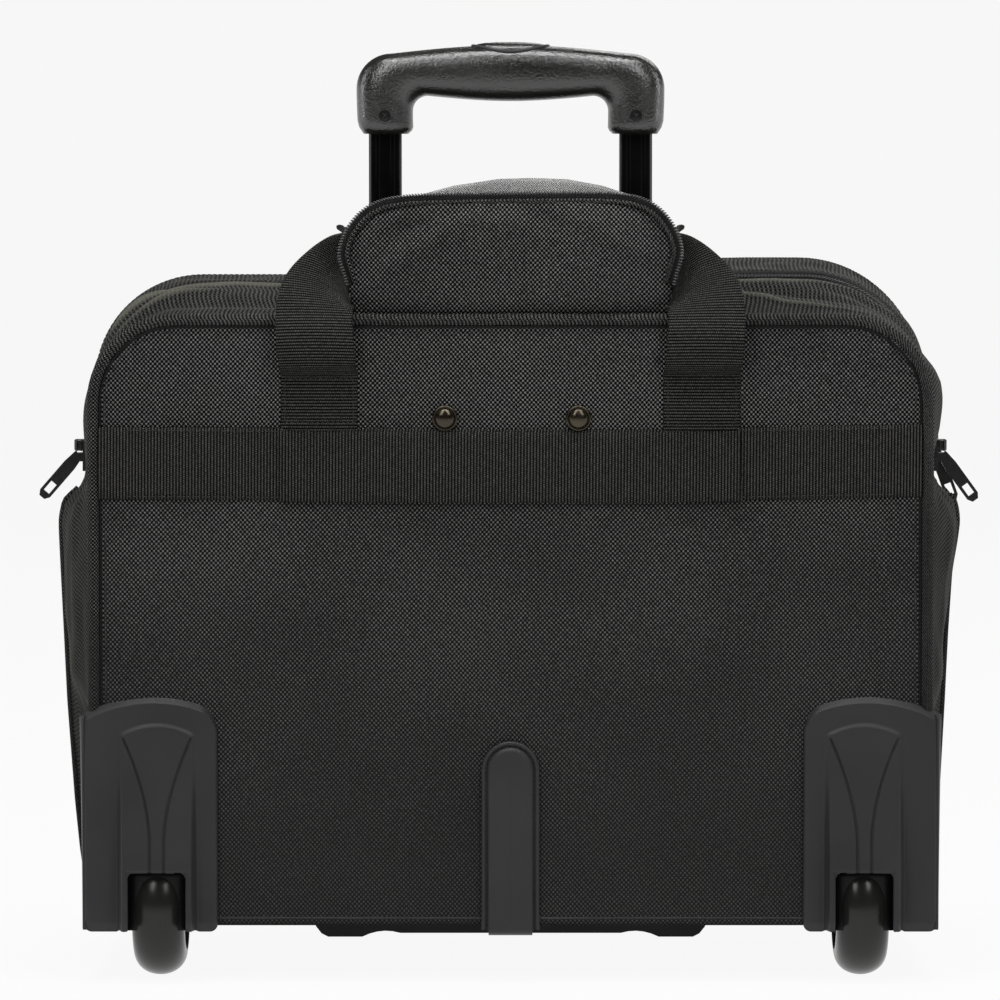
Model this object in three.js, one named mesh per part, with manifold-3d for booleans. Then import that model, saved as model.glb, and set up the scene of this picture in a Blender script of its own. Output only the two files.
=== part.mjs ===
// Rolling laptop case: a soft fabric case on two wheels, with a telescopic trolley handle behind a zipped flap.
// Millimetres. +Z is up, -Y is the wheel side (the back panel), +X is to the right as seen from the wheel side.
// The origin is on the ground, at the middle of the case's footprint.
import * as THREE from "three";
import { mergeVertices } from "three/addons/utils/BufferGeometryUtils.js";
import Module from "manifold-3d";

const wasm = await Module();
wasm.setup();

// ---- Driving dimensions ----
const GAP = 0.3; // between pieces that touch

// Case: depths are y values, measured from the back panel's outer face
const BACK = -97;
const BOTTOM = 28;
const SKIN = 3; // padded fabric wall
const PANEL = { half: 207, top: 327.5, corner: 42, bulge: 0 }; // outline at the back panel
const ARCH = { half: 213, top: 350, corner: 60, bulge: 11 }; // outline at the two zips
const FACE = { half: 208, top: 336, corner: 52, bulge: 6 }; // outline at the front panel
const ZIP_END = 246;
const BULGE_TOP = 250; // the sides are slack below this height
const ZIP_REAR = BACK + 66;
const ZIP_FRONT = BACK + 118;
const FRONT = BACK + 178;
const ZIP_HALF = 4; // half the width of a closed zip with its tapes
const FOLD = { y: FRONT + 20, z: 108 }; // the line about which the front section opens
const PIPING_R = 2.4;

// Webbing
const WEB = { width: 38, thickness: 1.6 };
const BAND = { bottom: 239.5, top: 275.3 };
const STRAP_X = 95;
const STRAP_SEWN_TOP = 303;

// Trolley handle
const TUBE_X = 62.5;
const TUBE_Y = BACK + 37;
const TUBE_BOTTOM = 42;
const TUBE_TOP = 326;
const WELL = { half: 88, y0: BACK + 13, y1: BACK + 61, bottom: 319, top: 331 }; // lined tray round the handle's seat
const STAGES = {
  outer: { width: 23.5, depth: 18.5, wall: 1.4 },
  middle: { width: 20, depth: 15, wall: 1.4 },
  inner: { width: 16.5, depth: 11.5, wall: 1.3 },
};
const RAISED = 80; // how far the grip stands above its stowed height
const GRIP = { bottom: 421, top: 464, half: 76, leg: 28, depth: 28 };
const SOCKET_TOP = 441;

// Wheels
const WHEEL_X = 174;
const WHEEL_R = 35;
const WHEEL_WIDTH = 24;
const AXLE_Y = BACK + 24;
const AXLE_R = 3;
const SLOT = { half: 14.5, top: 55.3 };
const POD_HALF = 20.5;

// Flap over the trolley handle
const FLAP = { hinge: 332.5, low: 72, wide: 84.5, wideAt: 34, height: 59, y: BACK + 5, thickness: 4, lean: 4 };

// Zip sliders and their pull tabs
const SLIDER_Z = 257.5;
const PIN_OUT = 6.6; // from the zip's face out to the pin
const TAB = { length: 29, width: 6.5, thickness: 2 };

const root = new THREE.Group();
const left = -1;
const right = 1;
const SIDES = [
  ["left", left],
  ["right", right],
];

// ---- Materials ----
function paint(colour, roughness, metalness = 0) {
  return new THREE.MeshStandardMaterial({ color: colour, roughness, metalness });
}
const MATERIAL = {
  nylon: paint(0x2b2b2b, 0.85),
  webbing: paint(0x232321, 0.9),
  lining: paint(0x8d8d8d, 0.9),
  housing: paint(0x38383a, 0.6),
  grip: paint(0x303030, 0.45),
  rubber: paint(0x303032, 0.7),
  tyre: paint(0x1c1c1c, 0.25),
  black_metal: paint(0x101010, 0.25, 0.6),
  dark_brass: paint(0x4a4438, 0.35, 0.9),
  steel: paint(0x8a8a8a, 0.3, 1),
  board: paint(0x1a1a1a, 0.7),
};

function add(name, geometry, material) {
  const mesh = new THREE.Mesh(geometry, material);
  mesh.name = name;
  root.add(mesh);
  return mesh;
}

// ---- Geometry helpers ----
// Turns a closed geometry so that its faces point out.
function outward(geometry) {
  const flat = geometry.index ? geometry : mergeVertices(geometry);
  const p = flat.attributes.position;
  const corner = (i) => new THREE.Vector3().fromBufferAttribute(p, flat.index.getX(i));
  let volume = 0;
  for (let i = 0; i < flat.index.count; i += 3) {
    volume += corner(i).dot(corner(i + 1).cross(corner(i + 2)));
  }
  if (volume < 0) {
    flat.setIndex(Array.from(flat.index.array).reverse());
  }
  return flat;
}

function toSolid(geometry) {
  const bare = new THREE.BufferGeometry();
  bare.setAttribute("position", geometry.attributes.position);
  bare.setIndex(geometry.index);
  const merged = outward(mergeVertices(bare, 1e-3));
  return new wasm.Manifold(
    new wasm.Mesh({
      numProp: 3,
      vertProperties: merged.attributes.position.array,
      triVerts: new Uint32Array(merged.index.array),
    }),
  );
}

function toGeometry(solid) {
  const { vertProperties, triVerts } = solid.getMesh();
  const geometry = new THREE.BufferGeometry();
  geometry.setAttribute("position", new THREE.BufferAttribute(vertProperties, 3));
  geometry.setIndex(new THREE.BufferAttribute(triVerts, 1));
  return geometry;
}

const cut = (geometry, ...tools) =>
  toGeometry(tools.reduce((solid, tool) => solid.subtract(toSolid(tool)), toSolid(geometry)));
const join = (geometry, ...more) =>
  toGeometry(more.reduce((solid, other) => solid.add(toSolid(other)), toSolid(geometry)));
const keep = (geometry, tool) => toGeometry(toSolid(geometry).intersect(toSolid(tool)));

function box(x0, x1, y0, y1, z0, z1) {
  return new THREE.BoxGeometry(x1 - x0, y1 - y0, z1 - z0).translate(
    (x0 + x1) / 2,
    (y0 + y1) / 2,
    (z0 + z1) / 2,
  );
}

const extrude = (shape, depth, curveSegments = 6) =>
  new THREE.ExtrudeGeometry(shape, { depth, bevelEnabled: false, curveSegments });

// A shape drawn in (x, z), run from y0 to y1.
const alongY = (shape, y0, y1, segments) =>
  extrude(shape, y1 - y0, segments).rotateX(Math.PI / 2).translate(0, y1, 0);

// A shape drawn in (y, z), run from x0 to x1.
function alongX(shape, x0, x1, segments) {
  const turn = new THREE.Matrix4().makeBasis(
    new THREE.Vector3(0, 1, 0),
    new THREE.Vector3(0, 0, 1),
    new THREE.Vector3(1, 0, 0),
  );
  return extrude(shape, x1 - x0, segments).applyMatrix4(turn).translate(x0, 0, 0);
}

// A shape drawn in (x, y), run from z0 to z1.
const alongZ = (shape, z0, z1, segments) =>
  extrude(shape, z1 - z0, segments).translate(0, 0, z0);

const rodX = (radius, x0, x1, y, z, sides = 20) =>
  new THREE.CylinderGeometry(radius, radius, x1 - x0, sides)
    .rotateZ(Math.PI / 2)
    .translate((x0 + x1) / 2, y, z);
const rodY = (radius, x, y0, y1, z, sides = 16) =>
  new THREE.CylinderGeometry(radius, radius, y1 - y0, sides).translate(x, (y0 + y1) / 2, z);
const rodZ = (radius, x, y, z0, z1, sides = 12) =>
  new THREE.CylinderGeometry(radius, radius, z1 - z0, sides)
    .rotateX(Math.PI / 2)
    .translate(x, y, (z0 + z1) / 2);

// A profile of (radius, offset along X) turned about an X axis through (y, z).
function turnedX(profile, x, y, z, segments = 32) {
  const points = profile.map(([radius, along]) => new THREE.Vector2(radius, along));
  return outward(
    mergeVertices(bareCopy(new THREE.LatheGeometry(points, segments))).rotateZ(-Math.PI / 2).translate(x, y, z),
  );
}

function bareCopy(geometry) {
  const bare = new THREE.BufferGeometry();
  bare.setAttribute("position", geometry.attributes.position);
  bare.setIndex(geometry.index);
  return bare;
}

function roundedRect(width, depth, radius, x = 0, y = 0, Kind = THREE.Shape) {
  const shape = new Kind();
  const w = width / 2 - radius;
  const d = depth / 2 - radius;
  shape.absarc(x + w, y - d, radius, -Math.PI / 2, 0);
  shape.absarc(x + w, y + d, radius, 0, Math.PI / 2);
  shape.absarc(x - w, y + d, radius, Math.PI / 2, Math.PI);
  shape.absarc(x - w, y - d, radius, Math.PI, Math.PI * 1.5);
  shape.closePath();
  return shape;
}

// The two triangulated ends of a loft: a flat ring's own triangles.
function capTriangles(ring) {
  const normal = new THREE.Vector3();
  ring.forEach((p, i) => {
    const q = ring[(i + 1) % ring.length];
    normal.add(new THREE.Vector3((p.y - q.y) * (p.z + q.z), (p.z - q.z) * (p.x + q.x), (p.x - q.x) * (p.y + q.y)));
  });
  const along = new THREE.Vector3().subVectors(ring[1], ring[0]).normalize();
  const across = new THREE.Vector3().crossVectors(normal, along).normalize();
  const flat = ring.map((p) => new THREE.Vector2(p.dot(along), p.dot(across)));
  return THREE.ShapeUtils.triangulateShape(flat, []);
}

// Skins a run of closed rings, each a list of as many points, and closes both ends. A quad is split along
// its other diagonal where otherWay holds its place in the ring, so a thin twisted strap keeps its thickness.
function loft(rings, otherWay = []) {
  const n = rings[0].length;
  const index = [];
  rings.slice(1).forEach((_, r) => {
    for (let i = 0; i < n; i += 1) {
      const a = r * n + i;
      const b = r * n + ((i + 1) % n);
      if (otherWay.includes(i)) {
        index.push(a, b, a + n, b, b + n, a + n);
      } else {
        index.push(a, b, b + n, a, b + n, a + n);
      }
    }
  });
  const last = (rings.length - 1) * n;
  capTriangles(rings[0]).forEach(([a, b, c]) => {
    index.push(c, b, a);
    index.push(a + last, b + last, c + last);
  });
  const geometry = new THREE.BufferGeometry();
  const positions = rings.flat().flatMap((p) => [p.x, p.y, p.z]);
  geometry.setAttribute("position", new THREE.Float32BufferAttribute(positions, 3));
  geometry.setIndex(index);
  return outward(geometry);
}

// A flat strap along centres, each { at: [x, y, z], wide: [x, y, z] }, where wide points across the strap.
function ribbon(stations, width, thickness) {
  const centres = stations.map((s) => new THREE.Vector3(...s.at));
  return loft(
    stations.map((s, i) => {
      const before = centres[Math.max(0, i - 1)];
      const after = centres[Math.min(centres.length - 1, i + 1)];
      const along = new THREE.Vector3().subVectors(after, before).normalize();
      const wide = new THREE.Vector3(...s.wide);
      wide.addScaledVector(along, -wide.dot(along)).normalize().multiplyScalar(width / 2);
      const thick = new THREE.Vector3().crossVectors(along, wide).normalize().multiplyScalar(thickness / 2);
      return [
        [1, 1],
        [-1, 1],
        [-1, -1],
        [1, -1],
      ].map(([w, t]) => centres[i].clone().addScaledVector(wide, w).addScaledVector(thick, t));
    }),
    [2],
  );
}

// ---- Case outline ----
// The case seen from behind: up the left side, over the top and down the right side.
function outline({ half, top, corner, bulge }, inset = 0, bottom = BOTTOM) {
  const side = [];
  const straightTop = top - corner;
  const steps = 7;
  for (let i = 0; i <= steps; i += 1) {
    const z = bottom + ((straightTop - bottom) * i) / steps;
    const t = Math.min(1, (z - BOTTOM) / (BULGE_TOP - BOTTOM));
    side.push([half - inset + bulge * Math.sin(Math.PI * t * t), z]);
  }
  const radius = corner - inset;
  const arcSteps = 6;
  for (let i = 1; i <= arcSteps; i += 1) {
    const angle = ((Math.PI / 2) * i) / arcSteps;
    side.push([half - corner + radius * Math.cos(angle), straightTop + radius * Math.sin(angle)]);
  }
  return [...side.map(([x, z]) => [-x, z]), ...side.reverse()];
}

// A wall of the given thickness that follows the outline at each depth: sections are [y, outline].
function archWall(sections, thickness, bottom = BOTTOM) {
  return loft(
    sections.map(([y, section]) =>
      [...outline(section, 0, bottom), ...outline(section, thickness, bottom).reverse()].map(
        ([x, z]) => new THREE.Vector3(x, y, z),
      ),
    ),
  );
}

const blend = (a, b, t) =>
  Object.fromEntries(Object.keys(a).map((key) => [key, a[key] + (b[key] - a[key]) * t]));

function outlineShape(section, inset = 0, bottom = BOTTOM) {
  return new THREE.Shape(outline(section, inset, bottom).map(([x, z]) => new THREE.Vector2(x, z)));
}

// The room that a wheel pod takes out of the walls around it.
function podRoom(side) {
  const half = POD_HALF + 3;
  return box(side * WHEEL_X - half, side * WHEEL_X + half, BACK - 20, AXLE_Y + 43, 0, 126);
}

// ---- Back panel, piping, webbing and trims ----
function makeBack() {
  const panel = alongY(outlineShape(PANEL, PIPING_R * 2, BOTTOM + SKIN + GAP), BACK, BACK + 4);
  add("back_panel", cut(panel, podRoom(left), podRoom(right)), MATERIAL.nylon);

  const pipeX = PANEL.half - PIPING_R + 0.4;
  const radius = PANEL.corner - PIPING_R + 0.4;
  const centre = PANEL.half - PANEL.corner;
  const straightTop = PANEL.top - PANEL.corner;
  const points = [[-pipeX, 146], [-pipeX, 190], [-pipeX, 240]];
  const arcs = [
    [-centre, Math.PI],
    [centre, Math.PI / 2],
  ];
  arcs.forEach(([x, start]) => {
    for (let i = 0; i <= 5; i += 1) {
      const angle = start - ((Math.PI / 2) * i) / 5;
      points.push([x + radius * Math.cos(angle), straightTop + radius * Math.sin(angle)]);
    }
  });
  points.push([pipeX, 240], [pipeX, 190], [pipeX, 146]);
  const rings = points.map(([x, z], i) => {
    const [ax, az] = points[Math.max(0, i - 1)];
    const [bx, bz] = points[Math.min(points.length - 1, i + 1)];
    const along = new THREE.Vector2(bx - ax, bz - az).normalize();
    const sides = 8;
    return Array.from({ length: sides }, (_, k) => {
      const angle = (Math.PI * 2 * k) / sides;
      const out = PIPING_R * Math.cos(angle);
      return new THREE.Vector3(x - along.y * out, BACK + 1.6 + PIPING_R * Math.sin(angle), z + along.x * out);
    });
  });
  add("back_piping", loft(rings), MATERIAL.nylon);

  const y = BACK - GAP;
  add("webbing_band", box(-201, 201, y - WEB.thickness, y, BAND.bottom, BAND.top), MATERIAL.webbing);

  const strip = new THREE.Shape();
  const half = 13.8;
  strip.moveTo(-half, 25);
  strip.lineTo(half, 25);
  strip.lineTo(half, 120 - half);
  strip.absarc(0, 120 - half, half, 0, Math.PI);
  strip.closePath();
  const pad = new THREE.Shape();
  const padHalf = 10.5;
  pad.moveTo(-padHalf, 24);
  pad.lineTo(padHalf, 24);
  pad.lineTo(padHalf, 116 - padHalf);
  pad.absarc(0, 116 - padHalf, padHalf, 0, Math.PI);
  pad.closePath();
  const turnUnder = box(-padHalf, padHalf, y - 1, BACK + 40, 24, BOTTOM - GAP - 0.2);
  add(
    "skid_strip",
    join(alongY(strip, y - 1.4, y, 8), alongY(pad, y - 2.8, y - 0.5, 8), turnUnder),
    MATERIAL.rubber,
  );

  SIDES.forEach(([name, side]) => {
    const x = side * 33;
    const stud = turnedX(
      [[0, 0], [6, 0], [6, 1.2], [4.6, 2.6], [2.4, 3.4], [0, 3.6]],
      0, 0, 0, 16,
    ).rotateZ(-Math.PI / 2).translate(x, y, 281.8);
    add(`snap_stud_${name}`, stud, MATERIAL.dark_brass);
  });
}

// ---- Gussets, zips and the hollow of the case ----
function makeRearSection() {
  const wall = archWall(
    [
      [BACK + 4 + GAP, PANEL],
      [BACK + 24, { ...blend(PANEL, ARCH, 0.55), bulge: 0 }],
      [BACK + 42, { ...blend(PANEL, ARCH, 0.85), bulge: 2, half: 210 }],
      [ZIP_REAR - ZIP_HALF, ARCH],
    ],
    SKIN,
  );
  const wellRoom = box(-WELL.half, WELL.half, WELL.y0, WELL.y1, WELL.bottom - 5, 370);
  add("rear_gusset", cut(wall, wellRoom), MATERIAL.nylon);

  const shaft = (side, grow) =>
    box(
      side * TUBE_X - STAGES.outer.width / 2 - grow,
      side * TUBE_X + STAGES.outer.width / 2 + grow,
      TUBE_Y - STAGES.outer.depth / 2 - grow,
      TUBE_Y + STAGES.outer.depth / 2 + grow,
      0,
      400,
    );
  // A lined tray that drops the trolley handle's seat below the top of the case.
  const tray = cut(
    box(-WELL.half + GAP, WELL.half - GAP, WELL.y0 + GAP, WELL.y1 - GAP, WELL.bottom, WELL.top),
    box(-WELL.half + 3, WELL.half - 3, WELL.y0 + 2.5, WELL.y1 - 2.5, WELL.bottom + 3, WELL.top + 20),
    shaft(left, GAP),
    shaft(right, GAP),
  );
  add("handle_well", tray, MATERIAL.lining);
}

const zipChain = (y) =>
  archWall(
    [
      [y - ZIP_HALF + GAP, ARCH],
      [y + ZIP_HALF - GAP, ARCH],
    ],
    2,
    ZIP_END,
  );

function makeZipsAndMiddle() {
  add("zip_rear", zipChain(ZIP_REAR), MATERIAL.webbing);
  add("zip_front", zipChain(ZIP_FRONT), MATERIAL.webbing);

  // Below the zips' ends the side walls run on, so the middle section is wider there.
  const middle = archWall(
    [
      [ZIP_REAR + ZIP_HALF, ARCH],
      [ZIP_FRONT - ZIP_HALF, ARCH],
    ],
    SKIN,
  );
  const sideWall = (y0, y1, top) => keep(archWall([[y0, ARCH], [y1, ARCH]], SKIN), box(-300, 300, y0 - 5, y1 + 5, 0, top));
  const lower = sideWall(ZIP_REAR - ZIP_HALF + GAP, ZIP_FRONT + ZIP_HALF - GAP, ZIP_END - GAP);
  const halves = (side) => box(side < 0 ? -300 : 0, side < 0 ? 0 : 300, -300, 300, 0, 600);
  add("middle_gusset", join(middle, keep(lower, halves(left)), keep(lower, halves(right))), MATERIAL.nylon);
}

// The cut between the fixed lower part of the front and the part that tips forward: a plane from the
// fold line up to the end of the front zip, leaving the given gap on one side of it.
function tippingSide(shift, above) {
  const shape = new THREE.Shape();
  const y0 = ZIP_FRONT - 30;
  const slope = (ZIP_END - FOLD.z) / (ZIP_FRONT - FOLD.y);
  const at = (y) => FOLD.z + slope * (y - FOLD.y) + shift;
  const end = above ? 600 : -50;
  shape.moveTo(y0, at(y0));
  shape.lineTo(FOLD.y, at(FOLD.y));
  shape.lineTo(FOLD.y + 60, at(FOLD.y));
  shape.lineTo(FOLD.y + 60, end);
  shape.lineTo(y0, end);
  shape.closePath();
  return alongX(shape, -300, 300);
}

function makeFrontSection() {
  const sections = [
    [ZIP_FRONT + ZIP_HALF, ARCH],
    [FRONT - 22, blend(ARCH, FACE, 0.55)],
    [FRONT - 4, FACE],
  ];
  const wall = archWall(sections, SKIN);
  const panel = alongY(outlineShape(FACE), FRONT - 4.5, FRONT);
  const shell = join(wall, panel);
  add("front_shell_upper", keep(shell, tippingSide(0.6, true)), MATERIAL.nylon);
  add("front_shell_lower", keep(shell, tippingSide(-0.6, false)), MATERIAL.nylon);

  const pocketOuter = (inset, y) =>
    [...roundedRect(2 * (186 - inset), 2 * (66 - inset), 20 - inset / 2, 0, 186).extractPoints(4).shape].map(
      (p) => new THREE.Vector3(p.x, y, p.y),
    );
  add(
    "front_pocket",
    loft([pocketOuter(0, FRONT + GAP), pocketOuter(1, FRONT + 9), pocketOuter(9, FRONT + 16), pocketOuter(26, FRONT + 19)]),
    MATERIAL.nylon,
  );
  add("pocket_zip", box(-168, 168, FRONT + GAP, FRONT + 3, 254, 262), MATERIAL.webbing);
}

function makeInside() {
  const board = new THREE.Shape();
  board.moveTo(-203, BACK + 0.5);
  board.lineTo(203, BACK + 0.5);
  board.lineTo(206.5, BACK + 46);
  board.lineTo(206.5, FRONT - 24);
  board.lineTo(204, FRONT - 5);
  board.lineTo(-204, FRONT - 5);
  board.lineTo(-206.5, FRONT - 24);
  board.lineTo(-206.5, BACK + 46);
  board.closePath();
  const floor = cut(alongZ(board, BOTTOM - GAP, BOTTOM + SKIN), podRoom(left), podRoom(right));
  add("bottom_board", floor, MATERIAL.board);
  const low = BOTTOM + SKIN + 1;
  const cover = { half: 196, top: 316, corner: 40, bulge: 0 };
  add(
    "handle_cover",
    cut(alongY(outlineShape(cover, 0, low), BACK + 54, BACK + 57), podRoom(left), podRoom(right)),
    MATERIAL.lining,
  );
  const divider = { half: 200, top: 300, corner: 30, bulge: 0 };
  add("laptop_divider", alongY(outlineShape(divider, 0, low), BACK + 92, BACK + 98), MATERIAL.lining);
}

// ---- Trolley handle ----
const tubeShape = ({ width, depth, wall }, x) => {
  const shape = roundedRect(width, depth, 3.5, x, TUBE_Y);
  shape.holes.push(roundedRect(width - 2 * wall, depth - 2 * wall, 2.2, x, TUBE_Y, THREE.Path));
  return shape;
};

function makeTubes() {
  SIDES.forEach(([name, side]) => {
    const x = side * TUBE_X;
    add(`outer_tube_${name}`, alongZ(tubeShape(STAGES.outer, x), TUBE_BOTTOM, TUBE_TOP, 3), MATERIAL.black_metal);
    add(`middle_tube_${name}`, alongZ(tubeShape(STAGES.middle, x), TUBE_BOTTOM + 3, TUBE_TOP - 1, 3), MATERIAL.black_metal);
    add(
      `inner_tube_${name}`,
      alongZ(tubeShape(STAGES.inner, x), TUBE_BOTTOM + 6 + RAISED, SOCKET_TOP - GAP, 3),
      MATERIAL.black_metal,
    );
    add(
      `release_rod_${name}`,
      rodZ(2.5, x, TUBE_Y, TUBE_BOTTOM + 16 + RAISED, SOCKET_TOP - 6, 10),
      MATERIAL.steel,
    );
  });

  // The bezel caps the outer tubes and lets the sliding tubes through.
  const hole = (side, { width, depth }, top) =>
    box(
      side * TUBE_X - width / 2 - 0.4,
      side * TUBE_X + width / 2 + 0.4,
      TUBE_Y - depth / 2 - 0.4,
      TUBE_Y + depth / 2 + 0.4,
      300,
      top,
    );
  const bezel = alongZ(roundedRect(160, 36, 8, 0, TUBE_Y), WELL.bottom + 3 + GAP, TUBE_TOP + 4, 4);
  add(
    "handle_bezel",
    cut(
      bezel,
      hole(left, STAGES.outer, TUBE_TOP + GAP),
      hole(right, STAGES.outer, TUBE_TOP + GAP),
      hole(left, STAGES.middle, 400),
      hole(right, STAGES.middle, 400),
    ),
    MATERIAL.rubber,
  );
  const bracket = box(-TUBE_X - 18, TUBE_X + 18, TUBE_Y - 14, TUBE_Y + 14, BOTTOM + SKIN + GAP, TUBE_BOTTOM - GAP);
  add("tube_foot_bracket", bracket, MATERIAL.rubber);
}

// The grip follows an outer and an inner edge: up the leg, round the corner and along the bar.
function gripEdges() {
  const outer = [];
  const inner = [];
  const outerR = 21;
  const innerR = 10;
  const innerX = GRIP.half - GRIP.leg;
  const barBottom = 438.5;
  const legSteps = 3;
  for (let i = 0; i <= legSteps; i += 1) {
    const z = GRIP.bottom + ((GRIP.top - 4 - outerR - GRIP.bottom) * i) / legSteps;
    outer.push([GRIP.half - (i === 0 ? 1.5 : 0), z]);
    const zi = GRIP.bottom + ((barBottom - innerR - GRIP.bottom) * i) / legSteps;
    inner.push([innerX + (i === 0 ? 1.5 : 0), zi]);
  }
  const cornerSteps = 6;
  for (let i = 1; i <= cornerSteps; i += 1) {
    const angle = ((Math.PI / 2) * i) / cornerSteps;
    outer.push([
      GRIP.half - outerR + outerR * Math.cos(angle),
      GRIP.top - 4 - outerR + outerR * Math.sin(angle),
    ]);
    inner.push([
      innerX - innerR + innerR * Math.cos(angle),
      barBottom - innerR + innerR * Math.sin(angle),
    ]);
  }
  const barSteps = 5;
  const [outerEnd] = outer.at(-1);
  const [innerEnd] = inner.at(-1);
  for (let i = 1; i <= barSteps; i += 1) {
    const t = i / barSteps;
    const rise = Math.sin((Math.PI / 2) * t);
    outer.push([outerEnd * (1 - t), GRIP.top - 4 + 4 * rise]);
    inner.push([innerEnd * (1 - t), barBottom - 2.5 * rise]);
  }
  const mirrored = (edge) => [...edge, ...edge.slice(0, -1).reverse().map(([x, z]) => [-x, z])];
  return [mirrored(outer), mirrored(inner)];
}

function makeGrip() {
  const [outer, inner] = gripEdges();
  const sides = 14;
  const last = outer.length - 1;
  const rings = outer.map(([ox, oz], i) => {
    const [ix, iz] = inner[i];
    const endShrink = i === 0 || i === last ? 1.5 : 0;
    return Array.from({ length: sides }, (_, k) => {
      const angle = (Math.PI * 2 * k) / sides;
      // A squarish oval between the two edges.
      const c = Math.sign(Math.cos(angle)) * Math.abs(Math.cos(angle)) ** 0.75;
      const s = Math.sign(Math.sin(angle)) * Math.abs(Math.sin(angle)) ** 0.75;
      return new THREE.Vector3(
        (ox + ix) / 2 + ((ox - ix) / 2) * c,
        TUBE_Y + (GRIP.depth / 2 - endShrink) * s,
        (oz + iz) / 2 + ((oz - iz) / 2) * c,
      );
    });
  });
  const socket = (side) =>
    box(
      side * TUBE_X - STAGES.inner.width / 2 - GAP,
      side * TUBE_X + STAGES.inner.width / 2 + GAP,
      TUBE_Y - STAGES.inner.depth / 2 - GAP,
      TUBE_Y + STAGES.inner.depth / 2 + GAP,
      GRIP.bottom - 5,
      SOCKET_TOP,
    );
  const SCREW_Z = 429.5;
  const rear = TUBE_Y - GRIP.depth / 2;
  const screwHole = (side) => rodY(3, side * TUBE_X, rear - 5, rear + 5, SCREW_Z, 14);
  const oval = (a, b) => {
    const shape = new THREE.Shape();
    shape.absellipse(0, TUBE_Y, a, b, 0, Math.PI * 2);
    return shape;
  };
  const buttonPocket = alongZ(oval(18.2, 7.7), 456, 480, 10);
  const grip = cut(loft(rings), socket(left), socket(right), screwHole(left), screwHole(right), buttonPocket);
  add("trolley_grip", grip, MATERIAL.grip);
  add("release_button", alongZ(oval(17.6, 7.1), 460, 466.3, 10), MATERIAL.grip);
  SIDES.forEach(([name, side]) => {
    add(`grip_screw_${name}`, rodY(2.6, side * TUBE_X, rear + 1.2, rear + 4.5, SCREW_Z, 14), MATERIAL.black_metal);
  });
}

// ---- Wheels and their housings ----
function makeHousing(name, side) {
  const outerX = 211.8;
  const innerX = 145.3;
  const xs = (a, b) => [Math.min(side * a, side * b), Math.max(side * a, side * b)];
  const [x0, x1] = xs(innerX, outerX);
  const plate = new THREE.Shape();
  const top = 142;
  const drop = 8;
  plate.moveTo(x0, BOTTOM - 2);
  plate.lineTo(x1, BOTTOM - 2);
  plate.lineTo(x1, top - drop);
  plate.quadraticCurveTo((x0 + x1) / 2, top + drop * 0.8, x0, top - drop);
  plate.closePath();
  const face = alongY(plate, BACK - 4.5, BACK - GAP, 8);

  const wing = new THREE.Shape();
  wing.moveTo(BACK - 4.5, BOTTOM - 2);
  wing.lineTo(BACK + 40, BOTTOM - 2);
  wing.quadraticCurveTo(BACK + 36, 80, BACK - 4.5, top - drop);
  wing.closePath();
  const [w0, w1] = xs(outerX - 0.8, outerX + 2.2);
  const sideWing = alongX(wing, w0, w1, 6);
  const foot = box(x0, x1, BACK - 4.5, BACK + 66, BOTTOM - 3.5, BOTTOM - 2 * GAP);

  const pod = new THREE.Shape();
  pod.moveTo(BACK - 2, 124);
  pod.quadraticCurveTo(BACK - 9, 112, BACK - 12, 80);
  pod.lineTo(BACK - 13.5, 58);
  pod.lineTo(BACK - 13.5, 34);
  pod.quadraticCurveTo(BACK - 13, 27, BACK - 8, BOTTOM - 3.5);
  pod.lineTo(AXLE_Y + 42, BOTTOM - 3.5);
  pod.lineTo(AXLE_Y + 42, WHEEL_R);
  pod.absarc(AXLE_Y, WHEEL_R, 42, 0, Math.PI / 2);
  pod.lineTo(BACK + 5, WHEEL_R + 42);
  pod.lineTo(BACK - 0.5, WHEEL_R + 50);
  pod.closePath();
  const [p0, p1] = xs(WHEEL_X - POD_HALF, WHEEL_X + POD_HALF);
  const podSolid = alongX(pod, p0, p1, 8);

  const [s0, s1] = xs(WHEEL_X - SLOT.half, WHEEL_X + SLOT.half);
  const cavity = rodX(38, s0, s1, AXLE_Y, WHEEL_R, 32);
  const slot = box(s0, s1, BACK - 30, AXLE_Y + 38, 0, WHEEL_R);
  const rearSlot = box(s0, s1, BACK - 30, AXLE_Y, 0, SLOT.top);
  const bore = rodX(AXLE_R + GAP, p0 - 5, p1 + 5, AXLE_Y, WHEEL_R, 16);
  add(
    `wheel_housing_${name}`,
    cut(join(face, sideWing, foot, podSolid), cavity, slot, rearSlot, bore),
    MATERIAL.housing,
  );
}

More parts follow.
